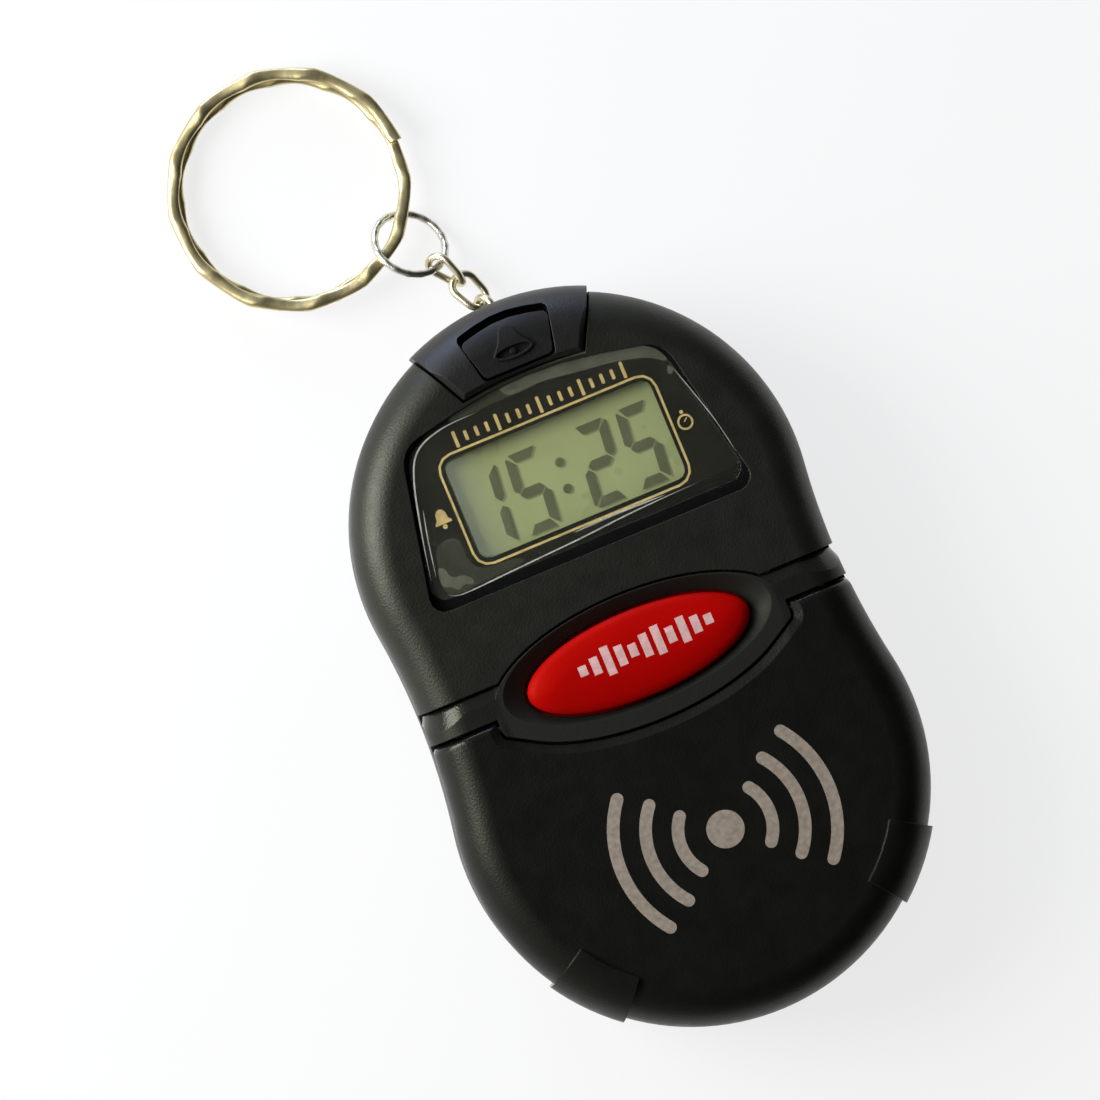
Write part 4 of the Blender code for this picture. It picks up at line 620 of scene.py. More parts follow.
def stepped(name, pairs, finish=None):
    """A solid through the case's outline at each (inset, height)."""
    return loft(name, [ring(case_outline(inset), height) for inset, height in pairs], finish)


def front_hull(name, base, proud=0.0, finish=None):
    """The outer form of the front, moved outwards by proud."""
    rise = rounded_rise(CASE_THICKNESS + proud, FRONT_ROUND + proud, -proud)
    return stepped(name, [(-proud, base)] + rise, finish)


def hollow(name, wall):
    """The room under a front of one wall's thickness."""
    rise = rounded_rise(CASE_THICKNESS - wall, FRONT_ROUND - wall, wall)
    return stepped(name, [(wall, 0)] + rise)


def cavity(name, rise=rounded_rise(CEILING, FRONT_ROUND - WALL, WALL)):
    """The room inside the front: a rebate for the tongue, and then the walls' inner sides."""
    rebate = [(REBATE_INSET, 0), (REBATE_INSET, REBATE_TOP), (rise[0][0], REBATE_TOP)]
    return stepped(name, rebate + rise)


def gabled(low_corner, high_corner, peak, steps):
    """A rounded trapezoid from its right-hand corners and its peak, each (x, y, radius)."""
    left = [(-x, y, radius) for x, y, radius in (high_corner, low_corner)]
    return rounded([left[1], low_corner, high_corner, peak, left[0]], steps)


def lens_outline(side, bottom, top):
    """The window's outline with each of its sides moved inwards."""
    low_corner = LENS_BOTTOM_HALF_WIDTH - side, LENS_BOTTOM_Y + bottom, LENS_CORNER
    high_corner = LENS_TOP_HALF_WIDTH - side, LENS_TOP_Y - top, LENS_TOP_CORNER
    return gabled(low_corner, high_corner, (0, LENS_PEAK_Y - top, LENS_TOP_RADIUS), 4)


def cap_wedge(gap):
    """The top cap's outline: two rays from its apex and a low curved edge."""
    slope = math.tan(math.radians(CAP_HALF_ANGLE))
    low = CAP_BOTTOM_Y - gap
    spread = gap / math.cos(math.radians(CAP_HALF_ANGLE))
    low_half = (low - CAP_APEX_Y) * slope + spread
    high_half = (FAR - CAP_APEX_Y) * slope + spread
    bottom = []
    for step in range(-3, 4):
        x = low_half * step / 3
        bottom.append((x, low + CAP_BOTTOM_RISE * (1 - (x / low_half) ** 2)))
    return bottom + [(high_half, FAR), (-high_half, FAR)]


def upper_region(gap):
    """Everything above the waist band and its bezel, kept clear of them by gap."""
    low = BAND_TOP_Y + gap
    fall = (low - BEZEL_CENTRE_Y) / (BEZEL_HALF_HEIGHT + gap)
    meet = (BEZEL_HALF_WIDTH + gap) * math.sqrt(1 - fall**2)
    crest = [(x, y) for x, y in grown(bezel_outline(), gap) if y > low and abs(x) < meet]
    right = [(meet, low), (FAR, low), (FAR, FAR), (-FAR, FAR), (-FAR, low), (-meet, low)]
    return list(reversed(crest)) + right


def waist_sleeve(name, rows):
    """A tunnel along Y round the waist: at each (y, drop) it is the front's section less drop."""
    near = [x for x, y in case_outline(0) if BAND_BOTTOM_Y - WALL < y < BAND_TOP_Y + WALL]
    half_width = max(near)
    rings = []
    for y, drop in rows:
        radius = FRONT_ROUND - min(drop, 0)
        side = half_width - drop - radius
        top = CASE_THICKNESS - drop - radius
        section = arc(side, top, radius, 0, 90, ROUND_STEPS * 2)
        section += arc(-side, top, radius, 90, 180, ROUND_STEPS * 2)
        section += [(-half_width + drop, top), (-half_width + drop, -FAR)]
        rings.append([(x, y, z) for x, z in [(half_width - drop, -FAR)] + section])
    return loft(name, rings)


def button_half(extra):
    return BUTTON_HALF_WIDTH + extra, BUTTON_HALF_HEIGHT + extra


def cut_button_well(waist):
    """A dished recess, the button's opening and room for its flange below."""
    spread = DISH_HALF_WIDTH - BUTTON_HALF_WIDTH - PART_GAP
    rim = DISH_HALF_WIDTH + spread, DISH_HALF_HEIGHT + DISH_DEPTH
    floor = ellipse(BUTTON_CENTRE_Y, *button_half(PART_GAP), BUTTON_STEPS)
    mouth = ellipse(DISH_CENTRE_Y, DISH_HALF_WIDTH, DISH_HALF_HEIGHT, BUTTON_STEPS)
    rings = [ring(floor, DECK_TOP), ring(floor, DISH_FLOOR), ring(mouth, CASE_THICKNESS)]
    rings.append(ring(ellipse(DISH_CENTRE_Y, *rim, BUTTON_STEPS), CASE_THICKNESS + DISH_DEPTH))
    cut(waist, loft("dish", rings))
    room = ellipse(BUTTON_CENTRE_Y, *button_half(BUTTON_FLANGE + PART_GAP), BUTTON_STEPS)
    cut(waist, prism("flange_room", room, DECK_LOW - WALL, BUTTON_SHELF))


def pivot_bar(name, side, outer, length, radius):
    """A short round bar on the hinge axis, from outer towards the middle."""
    return rod(name, (side * (outer - length / 2), HINGE_Y, HINGE_Z), radius, length, BAR_STEPS)


def grip_pad(side):
    """A raised wedge at a lower corner."""
    pad = front_hull(f"grip_{side}", GRIP_BASE, GRIP_PROUD)
    start, end = sorted(270 + side * (90 - edge) for edge in (GRIP_START_ANGLE, GRIP_END_ANGLE))
    inner = arc(0, LOWER_CENTRE_Y, GRIP_INNER_RADIUS, end, start, 4, last=1)
    outer = arc(0, LOWER_CENTRE_Y, FAR, start, end, 1, last=1)
    return keep(pad, prism(f"grip_region_{side}", inner + outer, 0, FAR))


def rear_profile():
    """(inset, height) pairs: up the outside, over the tongue and down to the floor inside."""
    round_off = reversed(rounded_rise(BACK_ROUND, BACK_ROUND, 0))
    outside = [(inset, BACK_ROUND - height) for inset, height in round_off]
    top = REAR_TOP + TONGUE_HEIGHT
    tongue = [(0, REAR_TOP), (TONGUE_INSET, REAR_TOP), (TONGUE_INSET, top), (WALL, top)]
    return outside + tongue + [(WALL, BACK_ROUND), (BACK_ROUND, WALL)]


def door_ear_outline(gap):
    """A tab with a round end that takes the door's screw."""
    radius = DOOR_EAR_RADIUS + gap
    base = DOOR_SCREW_Y - DOOR_EAR_RADIUS * 2
    end = arc(0, DOOR_SCREW_Y, radius, 0, 180, 10, last=1)
    return [(radius, base)] + end + [(-radius, base)]


def grille_places():
    """Hexagonal rings of holes about the speaker's middle."""
    spots = [(0, SPEAKER_Y)]
    for count in range(1, GRILLE_RINGS + 1):
        spots += arc(0, SPEAKER_Y, GRILLE_PITCH * count, 0, 360, 6 * count)
    return spots


def key_outline(gap, slot):
    """The alarm key's outline, grown by gap and by slot along its top."""
    high = KEY_TOP_Y + slot
    low_corner = KEY_BOTTOM_HALF_WIDTH + gap, KEY_BOTTOM_Y - gap, KEY_CORNER
    high_corner = KEY_TOP_HALF_WIDTH + gap, high - KEY_PEAK_RISE, KEY_CORNER
    return gabled(low_corner, high_corner, (0, high + KEY_PEAK_RISE, KEY_TOP_RADIUS), 3)


def bell_outline():
    """Half a bell's edge from its mouth to its crown, mirrored, with a bulging mouth."""
    crown_y = BELL_TOP_Y - BELL_TOP_HALF_WIDTH
    half = [(BELL_WAIST_HALF_WIDTH, BELL_WAIST_Y), (BELL_TOP_HALF_WIDTH, crown_y)]
    crown = arc(0, crown_y, BELL_TOP_HALF_WIDTH, 30, 180, 4)
    mouth = ellipse(BELL_MOUTH_Y, BELL_MOUTH_HALF_WIDTH, BELL_MOUTH_HALF_HEIGHT, 10, 180, 360)
    return [(BELL_MOUTH_HALF_WIDTH, BELL_MOUTH_Y)] + half + crown + mirrored(half) + mouth


def set_key_spot(index):
    return (index - (SET_KEY_COUNT - 1) / 2) * SET_KEY_PITCH, SET_KEY_Y


def make_front_shell():
    shell = front_hull("upper_housing", FRONT_BASE, finish="satin_black_plastic")
    keep(shell, prism("front_region", upper_region(SEAM), 0, FAR))
    cut(shell, cavity("front_cavity"))
    cut(shell, prism("lens_pocket", lens_outline(0, 0, 0), POCKET_FLOOR, FAR))
    window = rounded_box(0, WINDOW_CENTRE_Y, WINDOW_WIDTH, WINDOW_HEIGHT, WINDOW_CORNER)
    cut(shell, prism("window_hole", window, CEILING - WALL, FAR))
    return cut(shell, prism("cap_opening", cap_wedge(SEAM), 0, FAR))


def make_centre_frame():
    """The waist band and bezel, in one moulding with the deck under the cover."""
    waist = front_hull("waist_frame", FRONT_BASE, finish="frame_black_plastic")
    keep(waist, box("frame_region", (-FAR, -FAR, 0), (FAR, BAND_TOP_Y, FAR)))
    rise = [(DECK_INSET, DECK_TOP - DECK_CHAMFER), (DECK_INSET + DECK_CHAMFER, DECK_TOP)]
    cover_room = box("cover_room", (-FAR, -FAR, LEDGE_HEIGHT), (FAR, BAND_BOTTOM_Y, FAR))
    cut(waist, cut(cover_room, stepped("deck", [(DECK_INSET, FRONT_BASE)] + rise)))
    slope = BAND_CHAMFER_DROP / BAND_CHAMFER
    start = BAND_TOP_Y - BAND_CHAMFER
    rows = [(-FAR, -slope * (FAR + start)), (BAND_TOP_Y + WALL, slope * (BAND_CHAMFER + WALL))]
    keep(waist, waist_sleeve("band_chamfer", rows))
    region = prism("bezel_region", bezel_outline(), DECK_LOW, FAR)
    join(waist, keep(front_hull("bezel", FRONT_BASE), region))
    cut(waist, cavity("frame_cavity", [(DECK_INSET + DECK_WALL, DECK_LOW)]))
    cut_button_well(waist)
    width, depth = SET_KEY_WIDTH + 2 * PART_GAP, SET_KEY_DEPTH + 2 * PART_GAP
    for index in range(SET_KEY_COUNT):
        hole = rounded_box(*set_key_spot(index), width, depth, SET_KEY_CORNER + PART_GAP)
        cut(waist, prism(f"set_key_hole_{index + 1}", hole, DECK_LOW - WALL, FAR))
    reach = BEZEL_HALF_WIDTH + HINGE_RADIUS
    length = PIVOT_LENGTH + reach - PIVOT_SEAT + PIVOT_CLEARANCE * 2
    for side in (-1, 1):
        bore = f"pivot_hole_{side}", side, reach, length, PIVOT_RADIUS + PIVOT_CLEARANCE
        cut(waist, pivot_bar(*bore))
    return waist


def make_flip_cover():
    """The lower lobe's cover with grips at its corners, a notch round the bezel and two pivots."""
    cover = front_hull("cover_moulding", LEDGE_HEIGHT + COVER_GAP, finish="cover_plastic_painted_darker")
    join(cover, grip_pad(-1), grip_pad(1))
    rows = []
    for turned in range(HINGE_STEP, 91, HINGE_STEP):
        angle = math.radians(turned)
        drop = HINGE_RADIUS * (1 - math.cos(angle))
        rows.append((HINGE_Y + HINGE_RADIUS * math.sin(angle), drop))
    lead_in = math.tan(math.radians(HINGE_STEP)) * HINGE_RADIUS
    rows[:0] = [(-FAR, -FAR), (rows[0][0] - HINGE_RADIUS, rows[0][1] - lead_in)]
    keep(cover, waist_sleeve("hinge_edge", rows))
    cut(cover, hollow("cover_cavity", COVER_WALL))
    notch = [(x, y) for x, y in grown(bezel_outline(), COVER_GAP) if y < BEZEL_CENTRE_Y]
    notch = [(-PIVOT_SEAT, FAR)] + notch + [(PIVOT_SEAT, FAR)]
    wide = grown(notch, NOTCH_CHAMFER * 2)
    low = CASE_THICKNESS - NOTCH_CHAMFER_DROP
    rings = [ring(notch, 0), ring(notch, low), ring(wide, low + NOTCH_CHAMFER_DROP * 2)]
    cut(cover, loft("bezel_notch", rings))
    reach = PIVOT_SEAT + PIVOT_LENGTH / 2
    for side in (-1, 1):
        join(cover, pivot_bar(f"pivot_{side}", side, reach, PIVOT_LENGTH * 1.5, PIVOT_RADIUS))
    return cover


def make_rear_shell():
    shell = stepped("back_housing", rear_profile(), "satin_black_plastic")
    head = SCREW_HEAD_RADIUS + SCREW_CLEARANCE
    boss = head + SCREW_CLEARANCE
    spots = [(side * x, y) for x, y in (UPPER_BOSS, LOWER_BOSS) for side in (1, -1)]
    for index, spot in enumerate(spots, 1):
        join(shell, cylinder(f"boss_{index}", spot, boss, WALL / 2, SCREW_SHOULDER, BORE_STEPS))
        cut(shell, cylinder(f"head_bore_{index}", spot, head, -WALL, FAR, BORE_STEPS))
    inside = rounded_box(0, CELL_Y, *COMPARTMENT, DOOR_CORNER)
    cut(shell, prism("compartment_room", inside, -WALL, WALL * 2))
    cut(shell, prism("ear_recess", door_ear_outline(PART_GAP), -WALL, DOOR_THICKNESS + PART_GAP))
    for index, spot in enumerate(grille_places(), 1):
        hole = f"grille_hole_{index}", spot, GRILLE_HOLE_RADIUS, -WALL, WALL * 2, HOLE_STEPS
        cut(shell, cylinder(*hole))
    low = (PIN_X - SLOT_WIDTH / 2, SLOT_DEPTH_Y, SLOT_BOTTOM)
    cut(shell, box("chain_slot", low, (PIN_X + SLOT_WIDTH / 2, FAR, SLOT_TOP)))
    length = SLOT_WIDTH + 2 * (PIN_SEAT + PIN_CLEARANCE)
    pin_hole = (PIN_X, PIN_Y, PIN_Z), PIN_RADIUS + PIN_CLEARANCE, length, 12
    return cut(shell, rod("pin_hole", *pin_hole))


def make_top_cap():
    """A raised saddle over the top edge, with the alarm key's opening."""
    cap = front_hull("cap_moulding", FRONT_BASE, CAP_PROUD, "cap_black_plastic")
    wedge = cap_wedge(0)
    narrow = ring(grown(wedge, -CAP_BEVEL * 2), CASE_THICKNESS + CAP_PROUD * 2)
    keep(cap, loft("cap_region", [ring(wedge, 0), ring(wedge, CASE_THICKNESS), narrow]))
    cut(cap, cavity("cap_cavity"))
    opening = key_outline(KEY_GAP, KEY_SLOT)
    return cut(cap, prism("key_opening", opening, CASE_THICKNESS - FRONT_ROUND * 2, FAR))


def make_bell_key():
    """The alarm key with a bell raised on it."""
    key = front_hull("alarm_key_moulding", FRONT_BASE, CAP_PROUD, "key_black_plastic")
    keep(key, prism("key_region", key_outline(0, 0), CASE_THICKNESS - FRONT_ROUND, FAR))
    cut(key, hollow("key_underside", KEY_THICKNESS - CAP_PROUD))
    bell = front_hull("bell_relief", FRONT_BASE, CAP_PROUD + BELL_RISE)
    keep(bell, prism("bell_region", bell_outline(), CASE_THICKNESS - KEY_THICKNESS / 2, FAR))
    join(key, bell)
    mouth_half = BELL_MOUTH_HALF_WIDTH - BELL_LIP, BELL_MOUTH_HALF_HEIGHT - BELL_LIP
    mouth = ellipse(BELL_MOUTH_Y, *mouth_half, BAR_STEPS)
    cut(key, prism("bell_mouth", mouth, CASE_THICKNESS + CAP_PROUD - BELL_RISE, FAR))
    top = CASE_THICKNESS + CAP_PROUD + BELL_RISE / 2
    clapper = (0, BELL_MOUTH_Y), CLAPPER_RADIUS, top - BELL_RISE * 3, top, 20
    return join(key, cylinder("clapper", *clapper))


def make_lens():
    outline = lens_outline(LENS_SIDE_GAP, LENS_BOTTOM_GAP, LENS_SIDE_GAP)
    edge = LENS_SIDE_GAP / 4
    rings = [ring(outline, LENS_LOW), ring(outline, LENS_TOP - edge)]
    return loft("window_pane", rings + [ring(grown(outline, -edge), LENS_TOP)], "clear_window")


def make_talk_button():
    """A crowned oval cap with a flange that stops it under the frame."""
    shelf = BUTTON_SHELF - PART_GAP
    wide, full = button_half(BUTTON_FLANGE), button_half(0)
    crown_base = CASE_THICKNESS + BUTTON_CROWN - BUTTON_EDGE_DROP * 2
    rows = [(wide, shelf - BUTTON_FLANGE_THICKNESS), (wide, shelf), (full, shelf)]
    rows.append((full, crown_base))
    for share in CROWN_SHARES:
        half = BUTTON_HALF_WIDTH - BUTTON_HALF_HEIGHT * (1 - share), BUTTON_HALF_HEIGHT * share
        rise = BUTTON_EDGE_DROP * 2 * math.sqrt(1 - share**2)
        rows.append((half, crown_base + rise))
    rings = [ring(ellipse(0, *half, BUTTON_STEPS), height) for half, height in rows]
    button = loft("talk_key_moulding", rings, "red_plastic")
    button.location = (0, BUTTON_CENTRE_Y, 0)
    return button


# Wires and rings


def turned(degrees, axis):
    return Matrix.Rotation(math.radians(degrees), 4, axis)


def wire(name, points, radii, finish):
    """A closed round wire through points, with a radius at each."""
    curve = bpy.data.curves.new(name, "CURVE")
    curve.dimensions = "3D"
    curve.bevel_depth = 1.0
    curve.bevel_resolution = 6
    curve.use_fill_caps = False
    spline = curve.splines.new("POLY")
    spline.points.add(len(points) - 1)
    for slot, point, radius in zip(spline.points, points, radii):
        slot.co = (*point, 1)
        slot.radius = radius
    spline.use_cyclic_u = True
    curve.materials.append(FINISH[finish])
    made = bpy.data.objects.new(name, curve)
    parts.objects.link(made)
    return made


def make_chain():
    """Oval links, each through the one before it: the first goes round the pin."""
    length = LINK_LENGTH - 2 * LINK_WIRE
    bend = (LINK_WIDTH - 2 * LINK_WIRE) / 2
    reach = (length - (LINK_WIDTH - 2 * LINK_WIRE)) / 2
    flat = arc(0, reach, bend, 0, 180, LINK_BEND_STEPS, last=1)
    flat += arc(0, -reach, bend, 180, 360, LINK_BEND_STEPS, last=1)
    start = Vector((PIN_X + PIN_SEAT / 4, PIN_Y - PIN_RADIUS - LINK_WIRE - LINK_GAP, PIN_Z))
    for index, (heading, climb, roll) in enumerate(LINK_TURNS, 1):
        twist = math.radians(LINK_TWIST) * (-1) ** index / length
        points = []
        for x, y in flat:
            points.append((x * math.cos(y * twist), y + length / 2, x * math.sin(y * twist)))
        link = wire(f"chain_oval_{index}", points, [LINK_WIRE] * len(points), "chain_plate")
        aim = turned(heading - 90, "Z") @ turned(climb, "X")
        link.matrix_world = Matrix.Translation(start) @ aim @ turned(roll, "Y")
        start = start + aim @ Vector((0, length - 2 * LINK_WIRE - LINK_GAP, 0))


def make_small_ring():
    points = [(x, y, 0) for x, y in arc(0, 0, SMALL_RING_RADIUS, 0, 360, SMALL_RING_STEPS)]
    radii = []
    for x, y, z in points:
        dent = SMALL_RING_DENT * abs(math.sin(SMALL_RING_DENTS / 2 * math.atan2(y, x)))
        radii.append(SMALL_RING_WIRE * (SMALL_RING_FULL - dent))
    made = wire("joining_ring", points, radii, "nickel_plate")
    across = turned(KEY_RING_HEADING, "Z") @ Vector((-1, 0, 0))
    made.matrix_world = Matrix.Translation(SMALL_RING_CENTRE) @ turned(-SMALL_RING_TILT, across)
    return made


def make_key_ring():
    """A split ring: a wire wound on top, across one strand and on below, scooped between ridges."""
    flatness = KEY_RING_THICKNESS / (2 * KEY_RING_WIRE)
    pitch = 2 * KEY_RING_WIRE + KEY_RING_TURN_GAP / flatness
    whole_sweep = 720 - KEY_RING_STRAND_SWEEP
    count = round(KEY_RING_POINTS * whole_sweep / 360)
    rings = []
    for step in range(count + 1):
        sweep = whole_sweep * step / count
        angle = math.radians(sweep)
        fall = min(max((sweep - 360) / KEY_RING_STRAND_SWEEP + 1, 0), 1)
        height = pitch * (0.5 - fall * fall * (3 - 2 * fall))
        section = []
        for x, z in arc(0, 0, 1, 0, 360, KEY_RING_SECTION):
            ripple = abs(math.sin(angle * KEY_RING_RIDGES / 2 + KEY_RING_SLANT * x))
            scoop = KEY_RING_SCOOP * ripple
            x, z = [math.copysign(abs(side) ** KEY_RING_SQUARENESS, side) for side in (x, z)]
            x *= KEY_RING_WIRE - scoop * KEY_RING_SCOOP_OUT
            z *= KEY_RING_WIRE - scoop * KEY_RING_SCOOP_UP
            reach = KEY_RING_RADIUS + x + KEY_RING_SPREAD * (height / pitch - 0.5)
            section.append((reach * math.cos(angle), reach * math.sin(angle), height + z))
        rings.append(section)
    made = loft("split_ring", rings, "pale_brass_plate")
    centre = Vector((*SMALL_RING_CENTRE[:2], KEY_RING_Z))
    centre += turned(KEY_RING_HEADING, "Z") @ Vector((KEY_RING_RADIUS + KEY_RING_HANG, 0, 0))
    tip = turned(KEY_RING_HEADING - 180, "Z") @ turned(-KEY_RING_TILT, "Y")
    spin = turned(KEY_RING_START - KEY_RING_HEADING + 180, "Z")
    flatten = Matrix.Diagonal((1, 1, flatness, 1))
    made.matrix_world = Matrix.Translation(centre) @ tip @ spin @ flatten
    return made


# Pieces


def evaluated(piece):
    """The mesh that the piece's modifiers give, in place of the piece, and without the cutters."""
    graph = bpy.context.evaluated_depsgraph_get()
    mesh = bpy.data.meshes.new_from_object(piece.evaluated_get(graph))
    mesh.transform(piece.matrix_world)
    bpy.data.objects.remove(piece, do_unlink=True)
    for cutter in list(cutters.objects):
        bpy.data.objects.remove(cutter, do_unlink=True)
    return mesh


def hung(name, mesh, body, node=None):
    """A piece that rides its body, in place of its CAD node where it has one."""
    made = bpy.data.objects.new(name, mesh)
    parts.objects.link(made)
    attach(made, body)
    if node:
        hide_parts(node)
    return made


def evened(piece):
    piece.modifiers.new("evened", "WEIGHTED_NORMAL").keep_sharp = True


def settled(piece, body, node, sharp=SHARP_ANGLE):
    """Applies the piece's Booleans, evens its shading and hangs it in place of the CAD node."""
    name = piece.name
    mesh = evaluated(piece)
    builder = bmesh.new()
    builder.from_mesh(mesh)
    bmesh.ops.remove_doubles(builder, verts=builder.verts, dist=DOUBLES_GAP)
    bmesh.ops.dissolve_degenerate(builder, edges=builder.edges, dist=SHORTEST_EDGE)
    builder.to_mesh(mesh)
    builder.free()
    mesh.shade_smooth()
    mesh.set_sharp_from_angle(angle=math.radians(sharp))
    made = hung(name, mesh, body, node)
    evened(made)
    return made


PLASTIC = "black_plastic"
settled(make_rear_shell(), "case", "rear_shell")
settled(make_front_shell(), "case", "front_shell")
settled(make_centre_frame(), "case", "centre_frame", FRAME_SHARP_ANGLE)
settled(make_flip_cover(), "flip_cover", "flip_cover", COVER_SHARP_ANGLE)
settled(make_top_cap(), "case", "top_cap")
key = settled(make_bell_key(), "bell_key", "bell_key")
pivot = Matrix.Translation((0, KEY_BOTTOM_Y, CASE_THICKNESS + CAP_PROUD - KEY_THICKNESS))
key.data.transform(pivot @ turned(-KEY_SINK_ANGLE, "X") @ pivot.inverted())
settled(make_lens(), "case", "lens").visible_shadow = False
button = settled(make_talk_button(), "talk_button", "talk_button")
make_chain()
for index in (1, 2, 3):
    link = bpy.data.objects[f"chain_oval_{index}"]
    settled(link, f"chain_link_{index}", f"chain_link_{index}")
settled(make_small_ring(), "small_ring", "small_ring")
settled(make_key_ring(), "key_ring", "key_ring")

# The rubber mat: a sheet, and a dome under each key
mat_low_y = SET_KEY_Y - SET_DOME_RADIUS * 2
mat_high_y = BUTTON_CENTRE_Y + TALK_DOME_RADIUS + SET_DOME_RADIUS
mat_width = (SET_KEY_COUNT - 1) * SET_KEY_PITCH + SET_DOME_RADIUS * 4
mat_size = mat_width, mat_high_y - mat_low_y, SET_DOME_RADIUS
mat = rounded_box(0, (mat_low_y + mat_high_y) / 2, *mat_size)
mat = prism("key_mat_sheet", mat, MAT_LOW, MAT_TOP, "silicone_rubber")
settled(mat, "case", "key_mat")
domes = [("talk_button_press", (0, BUTTON_CENTRE_Y), TALK_DOME_RADIUS)]
for index in range(SET_KEY_COUNT):
    domes.append((f"set_key_{index + 1}_press", set_key_spot(index), SET_DOME_RADIUS))
for joint, spot, radius in domes:
    rings = []
    for share, rise in DOME_ROWS:
        row = arc(*spot, radius * share, 0, 360, DOME_STEPS)
        rings.append(ring(row, MAT_TOP - DOME_ROOT + DOME_HEIGHT * rise))
    dome = loft(joint.replace("press", "dome"), rings, "silicone_rubber")
    dome = settled(dome, "case", None)
    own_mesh(dome)

# The CAD nodes that stay: their finishes, with shading evened between sharp edges
NODES = {
    "deck_black_plastic": "battery_door",
    "solder_mask": "main_board",
    "display_glass": "lcd_glass",
    "white_plastic": "lcd_holder lcd_reflector",
    "potting_epoxy": "chip_blob capacitor alarm_switch",
    "black_foam": "speaker_gasket",
    "cone_film": "speaker_cone",
    "ferrite": "speaker_magnet",
    "silicone_rubber": "zebra_strip_lower zebra_strip_upper",
    "nickel_strip": "positive_contact negative_contact bridge_contact",
    "plated_steel": "speaker_basket button_cell_1 button_cell_2 battery_door_screw chain_pin",
}
NODES["plated_steel"] += " crystal"
for index in (1, 2, 3, 4):
    NODES["plated_steel"] += f" case_screw_{index}"
    NODES["silicone_rubber"] += f" set_key_{index}"
for finish, names in NODES.items():
    for name in names.split():
        solid = frame["nodes"][name]
        if not solid.material_slots:
            solid.data.materials.append(FINISH[finish])
        for slot in solid.material_slots:
            slot.material = FINISH[finish]
        solid.modifiers.new("weld", "WELD").merge_threshold = NODE_WELD
        solid.modifiers.new("split", "EDGE_SPLIT").split_angle = math.radians(NODE_SPLIT_ANGLE)
        evened(solid)


# Printed and thin pieces


def flat_piece(name, outlines, low, high, finish, body, slot, holes=()):
    """Thin flat shapes between two heights, in one piece."""
    builder = bmesh.new()
    for outline in outlines:
        skin(builder, [ring(outline, low), ring(outline, high)])
    made = made_of(builder, name, finish)
    for index, hole in enumerate(holes):
        cut(made, prism(f"{name}_hole_{index}", hole, low - WALL, high + WALL))
    return hung(name, evaluated(made), body)


def framed(left, right, low, high, corner, line=0):
    """A rounded box between four sides, each moved inwards by half of line."""
    size = right - left - line, high - low - line
    return rounded_box((left + right) / 2, (low + high) / 2, *size, corner)


CLEAR = "case", "clear_plastic"
MASK_LOW, MASK_TOP = LENS_LOW - 0.00012, LENS_LOW - 0.00004
MASK_SIDE, MASK_BOTTOM = LENS_SIDE_GAP * 1.2, LENS_BOTTOM_GAP * 1.1
mask_edge = lens_outline(MASK_SIDE, MASK_BOTTOM, MASK_SIDE)
view_hole = framed(*VIEW_SIDES, VIEW_CORNER)
flat_piece("window_mask", [mask_edge], MASK_LOW, MASK_TOP, "window_mask", *CLEAR, [view_hole])

# A matte near-black sheet on the window pocket's floor round the pane: painted shade in the gap
# beside and below the window
GAP_SHADE_INSET, GAP_SHADE_HEIGHT = 0.00002, 0.0002
gap_edge = lens_outline(GAP_SHADE_INSET, GAP_SHADE_INSET, GAP_SHADE_INSET)
pane_edge = lens_outline(LENS_SIDE_GAP, LENS_BOTTOM_GAP, LENS_SIDE_GAP)
GAP_SHADE = POCKET_FLOOR, POCKET_FLOOR + GAP_SHADE_HEIGHT, "window_gasket", "case", PLASTIC
flat_piece("window_gasket", [gap_edge], *GAP_SHADE, [pane_edge])

GOLD = MASK_TOP + 0.000005, MASK_TOP + 0.00002, "gold_print", "case", "pale_brass"
STRIPE_SIDES, STRIPE_LINE = (-0.0114, 0.0119, 0.0143, 0.0261), 0.00048
STRIPE_CORNER, STRIPE_INNER_CORNER = 0.0017, 0.00146
stripe = framed(*STRIPE_SIDES, STRIPE_CORNER)
stripe_hole = framed(*STRIPE_SIDES, STRIPE_INNER_CORNER, STRIPE_LINE)
flat_piece("gold_pinstripe", [stripe], *GOLD, [stripe_hole])

# Gold marks on the window's print: a row of ticks above, a bell and a stopwatch beside the display
TICK_COUNT, TICK_PITCH, TICK_WIDTH, TICK_CORNER = 17, 0.00112, 0.00034, 0.00008
TICK_MIDDLE_X, TICK_Y, TICK_LONG, TICK_SHORT = 0.0004, 0.0271, 0.0017, 0.0010
marks = []
for index in range(-(TICK_COUNT // 2), TICK_COUNT // 2 + 1):
    length = TICK_SHORT if index % 4 else TICK_LONG
    spot = TICK_MIDDLE_X + index * TICK_PITCH, TICK_Y
    marks.append(rounded_box(*spot, TICK_WIDTH, length, TICK_CORNER))
SIGN_SCALE, DIAL_SCALE = 0.00095, 0.0007
BELL_SPOT, WATCH_SPOT = (-0.0128, 0.0205), (0.0131, 0.0200)
BELL_SIDE = [(0.9, -0.45), (0.62, -0.2), (0.55, 0.45), (0.3, 0.8)]
SIGNS = [
    (BELL_SPOT, [(-0.9, -0.7), (0.9, -0.7), *BELL_SIDE, (0, 0.9), *mirrored(BELL_SIDE)]),
    (BELL_SPOT, arc(0, -1.0, 0.26, 0, 360, 16)),
    (WATCH_SPOT, [(-0.18, 0.95), (0.18, 0.95), (0.18, 1.3), (-0.18, 1.3)]),
    (WATCH_SPOT, [(-0.06, 0), (0.34, 0.34), (0.26, 0.42), (-0.14, 0.08)]),
]


